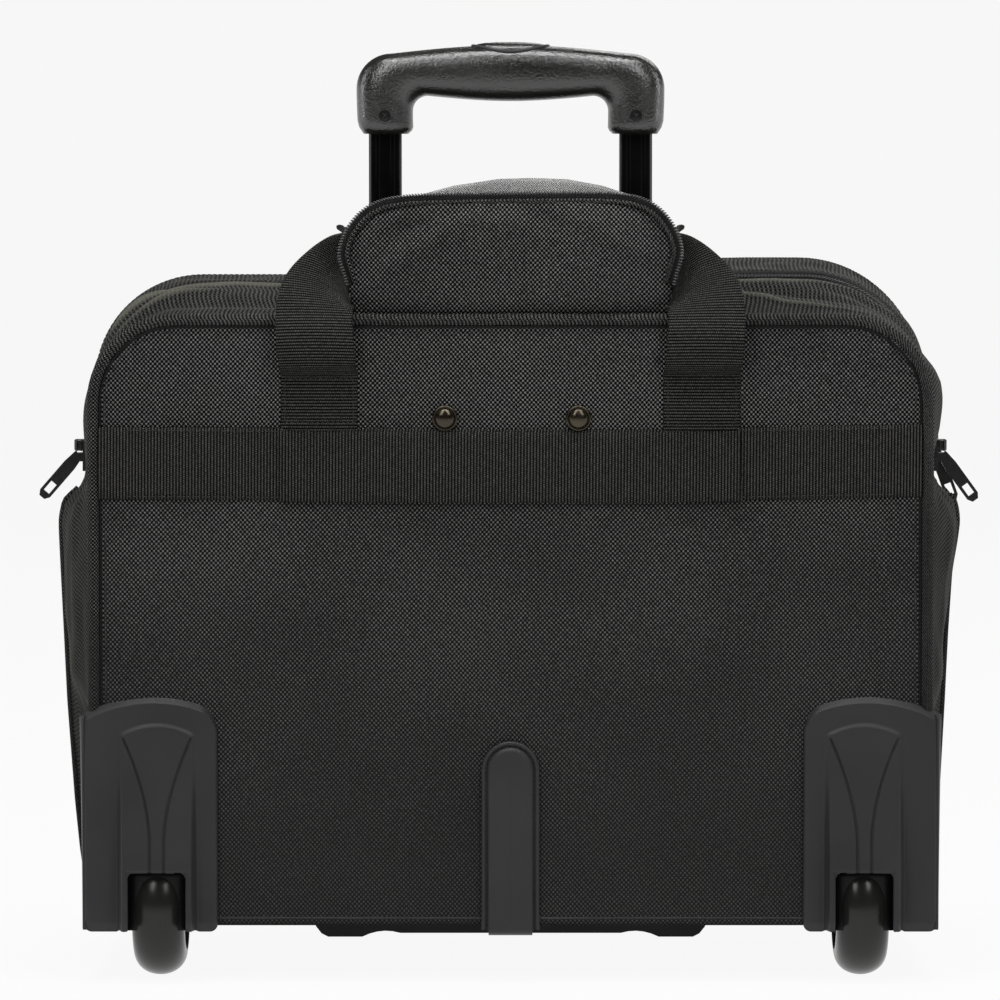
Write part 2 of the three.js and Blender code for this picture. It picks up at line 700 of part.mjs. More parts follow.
function makeWheel(name, side) {
  const x = side * WHEEL_X;
  const r = WHEEL_R;
  const half = WHEEL_WIDTH / 2;
  const rim = 22;
  const profile = [[rim, -half + 1]];
  const steps = 10;
  for (let i = 0; i <= steps; i += 1) {
    const angle = -Math.PI / 2 + (Math.PI * i) / steps;
    const round = 11;
    profile.push([r - round + round * Math.cos(angle), half * Math.sin(angle)]);
  }
  profile.push([rim, half - 1], [rim, -half + 1]);
  add(`tyre_${name}`, turnedX(profile, x, AXLE_Y, r, 36), MATERIAL.tyre);

  const hub = [
    [11.3, -9], [14, -9], [19, -6], [rim - GAP, -9], [rim - GAP, 9], [19, 6], [14, 9], [11.3, 9], [11.3, -9],
  ];
  add(`wheel_hub_${name}`, turnedX(hub, x, AXLE_Y, r, 28), MATERIAL.rubber);
  [["inner", -side], ["outer", side]].forEach(([place, way]) => {
    const [b0, b1] = [way * 1.5, way * 8.5].sort((a, b) => a - b);
    const bearing = [[AXLE_R + 0.05, b0], [11, b0], [11, b1], [AXLE_R + 0.05, b1], [AXLE_R + 0.05, b0]];
    add(`bearing_${name}_${place}`, turnedX(bearing, x, AXLE_Y, r, 24), MATERIAL.steel);
  });
  const axle = [
    [0, -POD_HALF - 2.2], [5, -POD_HALF - 2.2], [5, -POD_HALF - GAP], [AXLE_R, -POD_HALF - GAP],
    [AXLE_R, POD_HALF + GAP], [5, POD_HALF + GAP], [5, POD_HALF + 2.2], [0, POD_HALF + 2.2],
  ];
  add(`axle_${name}`, turnedX(axle, x, AXLE_Y, r, 24), MATERIAL.steel);
}

function makeStand() {
  const bar = new THREE.Shape();
  const top = BOTTOM - 2 * GAP;
  bar.moveTo(-108, top);
  bar.quadraticCurveTo(-105, 2, -96, 0);
  bar.lineTo(-78, 0);
  bar.quadraticCurveTo(-68, 5, -58, 2);
  bar.lineTo(58, 2);
  bar.quadraticCurveTo(68, 5, 78, 0);
  bar.lineTo(96, 0);
  bar.quadraticCurveTo(105, 2, 108, top);
  bar.closePath();
  add("front_stand", alongY(bar, FRONT - 26, FRONT - 4, 5), MATERIAL.rubber);
}

// ---- Flap over the handle ----
function flapEdge(grow = 0) {
  const top = FLAP.hinge + FLAP.height + grow;
  const wide = FLAP.wide + grow;
  const low = FLAP.low + grow;
  const curve = new THREE.Path();
  curve.moveTo(low, FLAP.hinge);
  curve.lineTo(low + 2, FLAP.hinge + 13);
  curve.quadraticCurveTo(wide - 3, FLAP.hinge + 22, wide, FLAP.hinge + FLAP.wideAt);
  curve.bezierCurveTo(wide - 6, top - 12, wide - 22, top - 1.5, wide - 42, top - 0.6);
  curve.lineTo(0, top);
  return curve.getPoints(5).map((p) => [p.x, p.y]);
}

function flapOutline(grow) {
  const half = flapEdge(grow);
  return [...half, ...half.slice(0, -1).reverse().map(([x, z]) => [-x, z])];
}

function makeFlap() {
  const y = FLAP.y;
  const leaned = (geometry) =>
    geometry
      .translate(0, -y, -FLAP.hinge)
      .rotateX(THREE.MathUtils.degToRad(FLAP.lean))
      .translate(0, y, FLAP.hinge);
  const shape = new THREE.Shape(flapOutline(-3).map(([x, z]) => new THREE.Vector2(x, z)));
  add("handle_flap", leaned(alongY(shape, y, y + FLAP.thickness)), MATERIAL.nylon);
  const outer = flapOutline(0).filter(([, z]) => z > FLAP.hinge + 14);
  const inner = flapOutline(-3 + GAP).filter(([, z]) => z > FLAP.hinge + 14);
  const chain = new THREE.Shape([...outer, ...inner.reverse()].map(([x, z]) => new THREE.Vector2(x, z)));
  add("flap_zip", leaned(alongY(chain, y + 0.5, y + 3)), MATERIAL.black_metal);
  const lining = new THREE.Shape();
  lining.moveTo(-66, FLAP.hinge + 6);
  lining.lineTo(66, FLAP.hinge + 6);
  lining.lineTo(74, FLAP.hinge + 46);
  lining.bezierCurveTo(56, FLAP.hinge + 64, 30, FLAP.hinge + 66, 15, FLAP.hinge + 66);
  lining.bezierCurveTo(-10, FLAP.hinge + 66, -40, FLAP.hinge + 60, -72, FLAP.hinge + 48);
  lining.closePath();
  const inside = y + FLAP.thickness + GAP;
  add("flap_lining", leaned(alongY(lining, inside, inside + 1.5)), MATERIAL.lining);
}

// ---- Carry handles ----
// Stations along one side of a handle. Each place is [x, y from the back panel, z, a, b, c]; (a, b, c) points
// across the webbing to its inner edge: toward the middle of the case, along y and along z.
function legStations(side, places) {
  const curve = (first) =>
    new THREE.CatmullRomCurve3(places.map((place) => new THREE.Vector3(...place.slice(first, first + 3))));
  const path = curve(0);
  const across = curve(3);
  const count = 2 * (places.length - 1);
  return Array.from({ length: count + 1 }, (_, i) => {
    const { x, y, z } = path.getPoint(i / count);
    const inner = across.getPoint(i / count);
    return { at: [side * x, BACK + y, z], wide: [-side * inner.x, inner.y, inner.z] };
  });
}

const loopStations = (places) => [...legStations(left, places), ...legStations(right, places).reverse()];

function makeCarryLoops() {
  const leg = [
    [95, -2, BAND.top + GAP, 1, 0, 0],
    [95, -2, STRAP_SEWN_TOP, 1, 0, 0],
    [95.6, -8, 311, 1, 0, 0],
    [96.4, -10.5, 323, 1, 0, 0],
    [96.6, -9, 331, 1, 0, -0.05],
    [95.8, -4.5, 337.5, 0.97, 0, -0.2],
    [94.2, 0.5, 341.5, 0.92, 0, -0.36],
  ];
  const rearLoop = [
    [93.8, 1.8, 342.6, 0.9, 0, -0.4],
    [90.3, 12, 348.5, 0.66, 0, -0.75],
    [85.5, 26, 353.5, 0.22, 0, -0.97],
    [81.8, 42, 359, 0.03, 0, -1],
    [79.5, 54, 367, 0.1, -0.25, -0.85],
    [74.5, 66, 372.8, 0.25, -0.75, -0.5],
    [64, 76, 372, 0.1, -0.9, -0.35],
    [45, 81, 371, 0, -0.97, -0.2],
    [15, 83, 370, 0, -1, -0.1],
  ];
  const frontLoop = [
    [95, 180, 300, 1, 0, 0],
    [95, 186, 299, 1, 0, 0],
    [95, 200, 290, 1, 0, 0],
    [94.5, 204, 274, 1, 0, 0],
    [92, 204, 256, 0.98, 0, 0.21],
    [84, 204, 242, 0.81, 0, 0.59],
    [70, 204, 233, 0.47, 0, 0.88],
    [50, 204, 229, 0.17, 0, 0.98],
    [20, 204, 228, 0, 0, 1],
  ];
  SIDES.forEach(([name, side]) => {
    add(`carry_strap_${name}`, ribbon(legStations(side, leg), WEB.width, WEB.thickness), MATERIAL.webbing);
  });
  add("carry_loop_rear", ribbon(loopStations(rearLoop), WEB.width, WEB.thickness), MATERIAL.webbing);
  add("carry_loop_front", ribbon(loopStations(frontLoop), WEB.width, WEB.thickness), MATERIAL.webbing);
}

// ---- Zip sliders and pull tabs ----
// Made with the zip running up and its face at x = 0, the pin along y; way is +1 or -1, the side it faces.
function sliderAndTab(way, swing) {
  const body = box(0.6, 3.6, -4.6, 4.6, -7, 7);
  const cheek = (y) => box(3, PIN_OUT + 1.8, y - 0.6, y + 0.6, -2.2, 2.2);
  const pin = rodY(1, PIN_OUT, -2.6, 2.6, 0, 12);
  const slider = join(body, cheek(-2.6), cheek(2.6), pin);

  const { length, width, thickness } = TAB;
  const shape = new THREE.Shape();
  shape.moveTo(-2.4, 1.5);
  shape.lineTo(2.4, 1.5);
  shape.lineTo(width / 2, -6);
  shape.lineTo(width / 2, -length + 4);
  shape.lineTo(width / 2 - 1.6, 1.5 - length);
  shape.lineTo(1.6 - width / 2, 1.5 - length);
  shape.lineTo(-width / 2, -length + 4);
  shape.lineTo(-width / 2, -6);
  shape.closePath();
  const eye = rodY(1.35, 0, -5, 5, -0.4, 12);
  const slot = box(-1.7, 1.7, -5, 5, -length + 5, -length + 11);
  const tab = cut(alongY(shape, -thickness / 2, thickness / 2), eye, slot)
    .rotateY(THREE.MathUtils.degToRad(-swing))
    .translate(PIN_OUT, 0, 0.4);
  const turn = way < 0 ? Math.PI : 0;
  return [slider.rotateZ(turn), tab.rotateZ(turn)];
}

function makeSliders() {
  const place = (name, [slider, tab], x, y, z) => {
    add(`${name}_slider`, slider.translate(x, y, z), MATERIAL.black_metal);
    add(`${name}_pull`, tab.translate(x, y, z), MATERIAL.black_metal);
  };
  const face = ARCH.half;
  place("rear_zip_left", sliderAndTab(left, 41), -face, ZIP_REAR, SLIDER_Z);
  place("rear_zip_right", sliderAndTab(right, 36), face, ZIP_REAR, SLIDER_Z);
  place("front_zip", sliderAndTab(right, 20), face, ZIP_FRONT, SLIDER_Z);
  const across = sliderAndTab(right, 14).map((g) => g.rotateY(-Math.PI / 2).rotateX(-Math.PI / 2));
  place("pocket_zip", across, -158, FRONT + 3, 258);
}

makeBack();
makeRearSection();
makeZipsAndMiddle();
makeFrontSection();
makeInside();
makeTubes();
makeGrip();
SIDES.forEach(([name, side]) => {
  makeHousing(name, side);
  makeWheel(name, side);
});
makeStand();
makeFlap();
makeCarryLoops();
makeSliders();

export default root;
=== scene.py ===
"""The looks of the rolling laptop case: fabric, webbing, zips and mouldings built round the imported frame.

Lengths are in millimetres until a mesh is made. +Z is up, -Y is the wheel side, +X is right seen from there.
"""

import math
from contextlib import contextmanager

import bmesh
import bpy
import numpy as np
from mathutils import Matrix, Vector, noise


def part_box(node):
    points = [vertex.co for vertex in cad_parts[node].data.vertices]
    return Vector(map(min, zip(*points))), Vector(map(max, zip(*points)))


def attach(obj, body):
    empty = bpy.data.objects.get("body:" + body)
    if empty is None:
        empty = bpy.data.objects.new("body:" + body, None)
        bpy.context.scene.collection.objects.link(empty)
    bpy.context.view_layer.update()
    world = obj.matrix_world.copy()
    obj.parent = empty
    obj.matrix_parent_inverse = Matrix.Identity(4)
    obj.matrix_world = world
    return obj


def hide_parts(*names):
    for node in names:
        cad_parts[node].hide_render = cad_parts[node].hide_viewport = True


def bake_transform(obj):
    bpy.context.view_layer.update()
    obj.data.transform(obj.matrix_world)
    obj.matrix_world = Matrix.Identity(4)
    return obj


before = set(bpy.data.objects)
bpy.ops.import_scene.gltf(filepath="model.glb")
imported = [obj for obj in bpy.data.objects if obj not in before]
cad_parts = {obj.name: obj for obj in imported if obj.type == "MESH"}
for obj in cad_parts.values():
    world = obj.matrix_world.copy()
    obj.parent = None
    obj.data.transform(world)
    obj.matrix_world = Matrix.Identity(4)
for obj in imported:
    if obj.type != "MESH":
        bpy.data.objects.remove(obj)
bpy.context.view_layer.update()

MM = 0.001
SIDES = (("left", -1), ("right", 1))


def clipped(value):
    return min(1.0, max(0.0, value))


def node_box(node):
    """The lowest and highest corner of a frame node, in millimetres."""
    low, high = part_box(node)
    return np.array(low) / MM, np.array(high) / MM


# ---- Driving dimensions, in millimetres ----
BACK = float(node_box("back_panel")[0][1])
BOTTOM = 28.0
ZIP_REAR = BACK + 66
ZIP_FRONT = BACK + 118
FRONT = BACK + 178
ZIP_HALF = 4.0
ZIP_END = float(node_box("zip_rear")[0][2])
# Each section of the case: y, half width, height of the top, corner radius, slack of the sides
SECTIONS = (
    (BACK + 3, 208.2, 330.0, 44, 1),
    (BACK + 12, 209.5, 333.0, 48, 3.0),
    (BACK + 26, 211, 337.0, 54, 8),
    (BACK + 46, 213, 342.5, 60, 12),
    (ZIP_REAR - 4, 213, 343.0, 62, 13),
    (ZIP_REAR + 4, 213, 346.4, 61, 13),
    (ZIP_REAR + 26, 213, 347.8, 58, 13),
    (ZIP_FRONT, 214, 349.0, 55, 13),
    (FRONT - 22, 212, 345.0, 56, 10),
    (FRONT, 207, 334.0, 50, 4.5),
)
# How the slack of the sides is spread over their height: z, share on the left, share on the right
SLACK = (
    (28, 0.0, 0.0),
    (58, 0.33, 0.05),
    (83, 0.52, 0.25),
    (134, 0.80, 0.45),
    (169, 0.92, 0.57),
    (200, 1.03, 0.72),
    (215, 1.08, 0.92),
    (226, 1.11, 1.03),
    (236, 0.95, 0.9),
    (243, 0.33, 0.3),
    (250, 0.0, 0.0),
)
FOLD_Y, FOLD_Z = FRONT + 20, 108.0
TUBE_X, TUBE_Y = 62.5, BACK + 37
FLAP_HINGE_Z = 332.5
FLAP_Y = BACK + 5
WHEEL_X, WHEEL_R, AXLE_Y = 175.2, 35.0, BACK + 24
WEB_WIDTH, WEB_THICK = 38.0, 1.7
# The back panel's piped edge: half width, top, corner radius; and how far inside it the fabric ends
PANEL_HALF, PANEL_TOP, PANEL_CORNER = 208.2, 330.5, 43.0
PANEL_INSET = 3.5
WEAVE = 0.95
RIB = 1.55


# ---- Node materials ----
class Nodes:
    """A short way to wire up one node material."""

    def __init__(self, name, colour, roughness, **sockets):
        self.material = bpy.data.materials.new(name)
        self.material.use_nodes = True
        self.tree = self.material.node_tree
        self.shader = self.tree.nodes["Principled BSDF"]
        self.set(self.shader, "Base Color", (*colour, 1))
        self.set(self.shader, "Roughness", roughness)
        for key, value in sockets.items():
            self.set(self.shader, key.replace("_", " "), value)
        self.material.diffuse_color = (*colour, 1)

    def set(self, node, socket, value):
        if isinstance(value, bpy.types.NodeSocket):
            self.tree.links.new(value, node.inputs[socket])
        else:
            node.inputs[socket].default_value = value

    def new(self, kind, **values):
        node = self.tree.nodes.new("ShaderNode" + kind)
        for key, value in values.items():
            setattr(node, key, value)
        return node

    def math(self, operation, a, b=0.0):
        node = self.new("Math", operation=operation)
        self.set(node, 0, a)
        self.set(node, 1, b)
        return node.outputs[0]

    def mix(self, factor, a, b):
        node = self.new("Mix", data_type="RGBA")
        self.set(node, 0, factor)
        self.set(node, 6, a if isinstance(a, bpy.types.NodeSocket) else (*a, 1))
        self.set(node, 7, b if isinstance(b, bpy.types.NodeSocket) else (*b, 1))
        return node.outputs[2]

    def uv(self):
        """The surface's own coordinates, in millimetres."""
        parts = self.new("SeparateXYZ")
        self.set(parts, 0, self.new("UVMap").outputs[0])
        return parts.outputs[0], parts.outputs[1]

    def noise(self, scale, detail=3.0, rough=0.5):
        """Noise in object space; scale is the number of features per millimetre."""
        node = self.new("TexNoise")
        self.set(node, "Vector", self.new("TexCoord").outputs["Object"])
        self.set(node, "Scale", scale / MM)
        self.set(node, "Detail", detail)
        self.set(node, "Roughness", rough)
        return node.outputs["Fac"]

    def spread(self, value, low, high, to_low=0.0, to_high=1.0):
        node = self.new("MapRange")
        for index, number in enumerate((value, low, high, to_low, to_high)):
            self.set(node, index, number)
        return node.outputs[0]

    def bump(self, height, distance, strength=1.0):
        node = self.new("Bump")
        self.set(node, "Height", height)
        self.set(node, "Distance", distance * MM)
        self.set(node, "Strength", strength)
        self.set(self.shader, "Normal", node.outputs[0])
        return self.material


def wave(n, value, period):
    """A sine wave over a coordinate in millimetres."""
    return n.math("SINE", n.math("MULTIPLY", value, 2 * math.pi / period))


def ballistic(name, dark, light, pitch=WEAVE, relief=0.32, ribbed=False):
    """Ballistic nylon: a staggered basket of thread crowns painted bright as highlights over a dark ground,
    with painted shade low down that darkens the crowns and flattens the contrast.
    The ribbed one has ribs that run from front to back, a painted sheen at grazing angles and a painted
    highlight on its folds' tops."""
    n = Nodes(name, dark, 0.6, Specular_IOR_Level=0.05)
    u, v = n.uv()
    wobble = n.math("MULTIPLY", n.math("SUBTRACT", n.noise(0.02), 0.5), 3.0)
    # The crowns' pale colour is a painted highlight where the threads cross; the same crowns give the weave's
    # bump.
    crowns = n.math("MULTIPLY", wave(n, n.math("ADD", u, wobble), 2.3 * pitch), wave(n, v, 2.5 * pitch))
    crown = n.spread(crowns, -0.15, 0.8)
    threads = n.math("MULTIPLY", wave(n, u, pitch / 2.5), 0.12)
    if ribbed:
        rib = n.spread(wave(n, u, 2.3 * pitch), -0.6, 0.9)
        crown = n.math("ADD", n.math("MULTIPLY", crown, 0.45), n.math("MULTIPLY", rib, 0.6))
    worn = n.spread(n.noise(0.012, 4), 0.3, 0.7, 0.75, 1.2)
    fleck = n.spread(n.noise(0.9, 1), 0.3, 0.75, 0.55, 1.35)
    shade = n.math("MULTIPLY", n.math("MULTIPLY", crown, fleck), worn)
    # Painted shade: low down the crowns are painted darker and the ground paler, for the weaker, flatter
    # light near the floor.
    height = n.new("SeparateXYZ")
    n.set(height, 0, n.new("TexCoord").outputs["Object"])
    painted_light_by_height = n.spread(height.outputs[2], 0.07, 0.28)
    painted_low_crown = tuple(0.34 * c for c in light)
    painted_low_ground = tuple(0.07 * c for c in light)
    colour = n.mix(n.math("MINIMUM", shade, 1.0), n.mix(painted_light_by_height, painted_low_ground, dark), n.mix(painted_light_by_height, painted_low_crown, light))
    if ribbed:
        # Painted sheen: the cloth is painted paler where it is seen at a grazing angle.
        rim = n.new("LayerWeight")
        n.set(rim, "Blend", 0.35)
        colour = n.mix(n.spread(rim.outputs["Facing"], 0.55, 1.0, 0.0, 0.4), colour, (0.07, 0.07, 0.06))
        # Painted highlight: the cloth is painted paler on the folds' tops that fold_gusset marks.
        crest_highlight = n.new("Attribute", attribute_name="crest_highlight")
        colour = n.mix(n.spread(crest_highlight.outputs["Fac"], 0.3, 0.9, 0.0, 0.8), colour, (0.125, 0.125, 0.103))
    n.set(n.shader, "Base Color", colour)
    n.set(n.shader, "Roughness", n.spread(crown, 0, 1, 0.75, 0.5))
    return n.bump(n.math("ADD", crown, threads), relief)


def webbing(name, dark, light):
    """Ribbed webbing: ribs across the strap, each broken into short thread floats."""
    n = Nodes(name, dark, 0.6, Specular_IOR_Level=0.06)
    across, length = n.uv()
    stagger = n.math("MULTIPLY", n.math("FLOOR", n.math("DIVIDE", length, RIB)), 0.55)
    rib = n.spread(wave(n, length, RIB), -0.5, 0.8)
    floats = n.spread(wave(n, n.math("ADD", across, stagger), 1.1), -1, 0.6, 0.3, 1)
    fuzz = n.spread(n.noise(0.7, 2), 0.3, 0.7, 0.6, 1.25)
    shade = n.math("MULTIPLY", n.math("MULTIPLY", rib, floats), fuzz)
    n.set(n.shader, "Base Color", n.mix(n.math("MINIMUM", shade, 1.0), dark, light))
    return n.bump(n.math("MULTIPLY", rib, floats), 0.4)


def cloth(name, dark, light, pitch=0.6, relief=0.08):
    """Plain lining cloth with a soft tone that varies at random."""
    n = Nodes(name, dark, 0.75, Specular_IOR_Level=0.12)
    u, v = n.uv()
    weave = n.math("MULTIPLY", wave(n, u, pitch), wave(n, v, pitch))
    tone = n.spread(n.noise(0.03, 3), 0.3, 0.7)
    n.set(n.shader, "Base Color", n.mix(tone, dark, light))
    n.set(n.shader, "Sheen Weight", 0.08)
    return n.bump(weave, relief)


def moulded(name, colour, roughness, grain=0.6, relief=0.05, coat=0.0, level=0.5):
    """Moulded plastic with a fine spark-eroded grain, a little uneven in shade and gloss."""
    n = Nodes(name, colour, roughness, Coat_Weight=coat, Coat_Roughness=0.1, Specular_IOR_Level=level)
    tone = n.spread(n.noise(0.02, 4), 0.3, 0.7)
    lighter = tuple(1.25 * c + 0.001 for c in colour)
    n.set(n.shader, "Base Color", n.mix(tone, colour, lighter))
    n.set(n.shader, "Roughness", n.spread(n.noise(0.05, 4), 0.3, 0.7, roughness - 0.06, roughness + 0.06))
    return n.bump(n.noise(grain, 2, 0.6), relief)


def metal(name, colour, roughness, metallic=1.0):
    """Plated or bare metal with a faint, uneven polish."""
    n = Nodes(name, colour, roughness, Metallic=metallic, Coat_Weight=0.3, Coat_Roughness=0.15)
    tone = n.spread(n.noise(0.1, 4), 0.35, 0.65)
    n.set(n.shader, "Base Color", n.mix(tone, colour, tuple(c * 1.5 for c in colour)))
    n.set(n.shader, "Roughness", n.spread(n.noise(0.4, 3), 0.3, 0.7, roughness - 0.05, roughness + 0.08))
    return n.bump(n.noise(0.5, 2), 0.02)


def grey(level):
    return (level, level, level)


MAT = {
    "panel": ballistic("panel_nylon", grey(0.001), (0.20, 0.20, 0.197)),
    "gusset": ballistic("gusset_nylon", grey(0.0015), (0.085, 0.085, 0.08), relief=0.3, ribbed=True),
    "piping": ballistic("piping_cover", grey(0.001), (0.17, 0.17, 0.166), 0.75, 0.3),
    "webbing": webbing("webbing_strap", grey(0.001), (0.092, 0.092, 0.084)),
    "band": webbing("webbing_band", (0.003, 0.003, 0.0028), (0.092, 0.092, 0.084)),
    "lining": cloth("grey_lining", grey(0.28), (0.42, 0.42, 0.415), pitch=1.2, relief=0.25),
    "inside": cloth("dark_lining", (0.03, 0.03, 0.031), (0.05, 0.05, 0.052)),
    "tape": cloth("zip_tape", grey(0.002), grey(0.008), 1.1, 0.2),
    "coil": moulded("zip_coil", grey(0.012), 0.28, relief=0.01),
    "zip_teeth": moulded("closed_zip_coil", grey(0.035), 0.5, relief=0.01, level=0.3),
    "teeth": moulded("open_zip_coil", grey(0.045), 0.35, relief=0.01, coat=0.15),
    "thread": moulded("sewing_thread", grey(0.012), 0.6, 2.0, 0.05),
    "housing": moulded("housing_plastic", (0.021, 0.021, 0.0215), 0.5, 0.9, 0.07, level=0.3),
    "moulding": moulded("moulded_strip", grey(0.023), 0.5, 0.9, 0.05, level=0.3),
    "stand": moulded("stand_plastic", grey(0.001), 0.5, 0.8, 0.05, level=0.25),
    "grip": moulded("grip_plastic", (0.0075, 0.0075, 0.0066), 0.25, 0.75, 0.30, level=1.0),
    "tyre": moulded("tyre_rubber", (0.013, 0.013, 0.012), 0.24, 0.15, 0.02, level=0.32),
    "hub": moulded("hub_plastic", grey(0.008), 0.4),
    "tube": moulded("black_anodised", grey(0.001), 0.16, 0.5, 0.008, level=0.2),
    "recess": moulded("screw_recess", grey(0.0015), 0.5, relief=0.01, level=0.2),
    "black_metal": metal("black_plated", grey(0.012), 0.2, 0.6),
    "steel": metal("satin_steel", (0.4, 0.4, 0.41), 0.3),
    "brass": metal("antique_brass", (0.045, 0.037, 0.025), 0.28),
}


# ---- Mesh making ----
def new_object(name, data):
    piece = bpy.data.objects.new(name, data)
    bpy.context.scene.collection.objects.link(piece)
    return piece


@contextmanager
def editing(piece):
    """A piece's mesh opened for editing, and written back when done."""
    work = bmesh.new()
    work.from_mesh(piece.data)
    yield work
    work.to_mesh(piece.data)
    work.free()


def make(name, points, faces, material, uv=None):
    mesh = bpy.data.meshes.new(name)
    mesh.from_pydata((np.asarray(points, float) * MM).tolist(), [], [tuple(map(int, f)) for f in faces])
    if uv is not None:
        corner = np.zeros(len(mesh.loops), np.int32)
        mesh.loops.foreach_get("vertex_index", corner)
        mesh.uv_layers.new(name="UVMap").data.foreach_set("uv", np.asarray(uv, float)[corner].ravel())
    mesh.polygons.foreach_set("use_smooth", [True] * len(mesh.polygons))
    for one in material if isinstance(material, (list, tuple)) else [material]:
        mesh.materials.append(one)
    return new_object(name, mesh)


def grid_faces(rows, columns, flip=False):
    index = np.arange(rows * columns).reshape(rows, columns)
    quads = np.stack([index[:-1, :-1], index[:-1, 1:], index[1:, 1:], index[1:, :-1]], -1).reshape(-1, 4)
    return quads[:, ::-1] if flip else quads


def weld(piece, distance=1e-6):
    with editing(piece) as work:
        bmesh.ops.remove_doubles(work, verts=work.verts, dist=distance)
    return piece


def close_ends(piece, turn_out=True):
    """Fills a piece's open ends, and turns its faces outward."""
    with editing(piece) as work:
        bmesh.ops.holes_fill(work, edges=[e for e in work.edges if e.is_boundary])
        if turn_out:
            bmesh.ops.recalc_face_normals(work, faces=work.faces)


def surface(name, grid, material, uv=None, flip=False, thickness=0.0):
    """A sheet through a grid of points; thickness is set behind it, in the material list's second entry."""
    grid = np.asarray(grid, float)
    rows, columns = grid.shape[:2]
    if uv is None:
        across = np.linalg.norm(np.diff(grid, axis=1), axis=2)
        along = np.linalg.norm(np.diff(grid, axis=0), axis=2)
        u = np.concatenate([np.zeros((rows, 1)), np.cumsum(across, 1)], 1)
        v = np.concatenate([np.zeros((1, columns)), np.cumsum(along, 0)], 0)
        uv = np.stack([u - u[:, -1:] / 2, v], -1)
    piece = make(name, grid.reshape(-1, 3), grid_faces(rows, columns, flip), material, uv.reshape(-1, 2))
    if thickness:
        solid = piece.modifiers.new("thickness", "SOLIDIFY")
        solid.thickness = thickness * MM
        solid.offset = -1
        solid.material_offset = 1 if isinstance(material, (list, tuple)) and len(material) > 1 else 0
    return piece


def mount(piece, body, slot, *nodes):
    """Gives a piece its body and hides the frame nodes that it stands in for. The slot is not used."""
    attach(piece, body)
    if nodes:
        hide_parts(*nodes)
    return piece


def unit(vectors):
    """Vectors brought to length 1."""
    return vectors / np.maximum(np.linalg.norm(vectors, axis=-1, keepdims=True), 1e-9)


def tangents(path):
    return unit(np.gradient(np.asarray(path, float), axis=0))


def run_length(path):
    """The way gone along a path at each of its points."""
    return np.concatenate([[0], np.cumsum(np.linalg.norm(np.diff(path, axis=0), axis=1))])


def resample(path, count):
    """A path's points, evenly parted."""
    path = np.asarray(path, float)
    length = run_length(path)
    wanted = np.linspace(0, length[-1], count)
    return np.stack([np.interp(wanted, length, path[:, i]) for i in range(path.shape[1])], -1)


def ring_of(line, count):
    """A closed line, evenly parted."""
    return resample(np.vstack([line, line[:1]]), count)


def at_depth(line, y):
    """An outline's points (x, z) as places at depth y, which may differ from point to point."""
    return np.stack([line[:, 0], np.broadcast_to(np.asarray(y, float), len(line)), line[:, 1]], -1)


def spline(points, count):
    """A Catmull-Rom curve through points of any dimension, evenly parted."""
    points = np.asarray(points, float)
    padded = np.vstack([2 * points[0] - points[1], points, 2 * points[-1] - points[-2]])
    out = []
    for i in range(len(points) - 1):
        p0, p1, p2, p3 = padded[i : i + 4]
        for t in np.linspace(0, 1, 16, endpoint=False):
            straight = 2 * p1 + (p2 - p0) * t
            bend = (2 * p0 - 5 * p1 + 4 * p2 - p3) * t**2
            twist = (3 * p1 - p0 - 3 * p2 + p3) * t**3
            out.append(0.5 * (straight + bend + twist))
    out.append(points[-1])
    return resample(out, count)


def sweep(name, path, section, material, out=(0, 0, 1), closed=False):
    """Sweeps a closed section of (out, up) offsets along a path.

    out is the direction that the section's first axis keeps to: one vector, or one for each point.
    """
    path = np.asarray(path, float)
    section = np.asarray(section, float)
    tangent = unit(np.roll(path, -1, 0) - np.roll(path, 1, 0)) if closed else tangents(path)
    out = np.broadcast_to(np.asarray(out, float), path.shape)
    first = unit(out - (out * tangent).sum(1, keepdims=True) * tangent)
    second = np.cross(tangent, first)
    ring = np.vstack([section, section[:1]])
    grid = path[:, None] + first[:, None] * ring[None, :, :1] + second[:, None] * ring[None, :, 1:]
    if closed:
        grid = np.concatenate([grid, grid[:1]])
    piece = weld(surface(name, grid, material, flip=True))
    if not closed:
        close_ends(piece, turn_out=False)
    return piece


def circle(radius, sides=12):
    angle = np.linspace(0, 2 * math.pi, sides, endpoint=False)
    return np.stack([radius * np.cos(angle), radius * np.sin(angle)], -1)


def rounded(width, height, radius, steps=4):
    """A rounded rectangle, counter-clockwise."""
    points = []
    for cx, cy, start in ((1, -1, -90), (1, 1, 0), (-1, 1, 90), (-1, -1, 180)):
        for i in range(steps + 1):
            a = math.radians(start + 90 * i / steps)
            x = cx * (width / 2 - radius) + radius * math.cos(a)
            points.append((x, cy * (height / 2 - radius) + radius * math.sin(a)))
    return np.array(points)


def lathe(name, profile, centre, material, sides=64, axis="X"):
    """Turns a profile of (radius, along) about an axis through centre."""
    profile = np.asarray(profile, float)
    angle = np.linspace(0, 2 * math.pi, sides + 1)
    radial = profile[None, :, 0]
    c, s = np.cos(angle)[:, None] * radial, np.sin(angle)[:, None] * radial
    along = np.broadcast_to(profile[None, :, 1], c.shape)
    order = {"X": (along, c, s), "Y": (c, along, -s)}[axis]
    piece = surface(name, np.stack(order, -1) + np.asarray(centre, float), material, flip=True)
    return weld(piece, 1e-5)


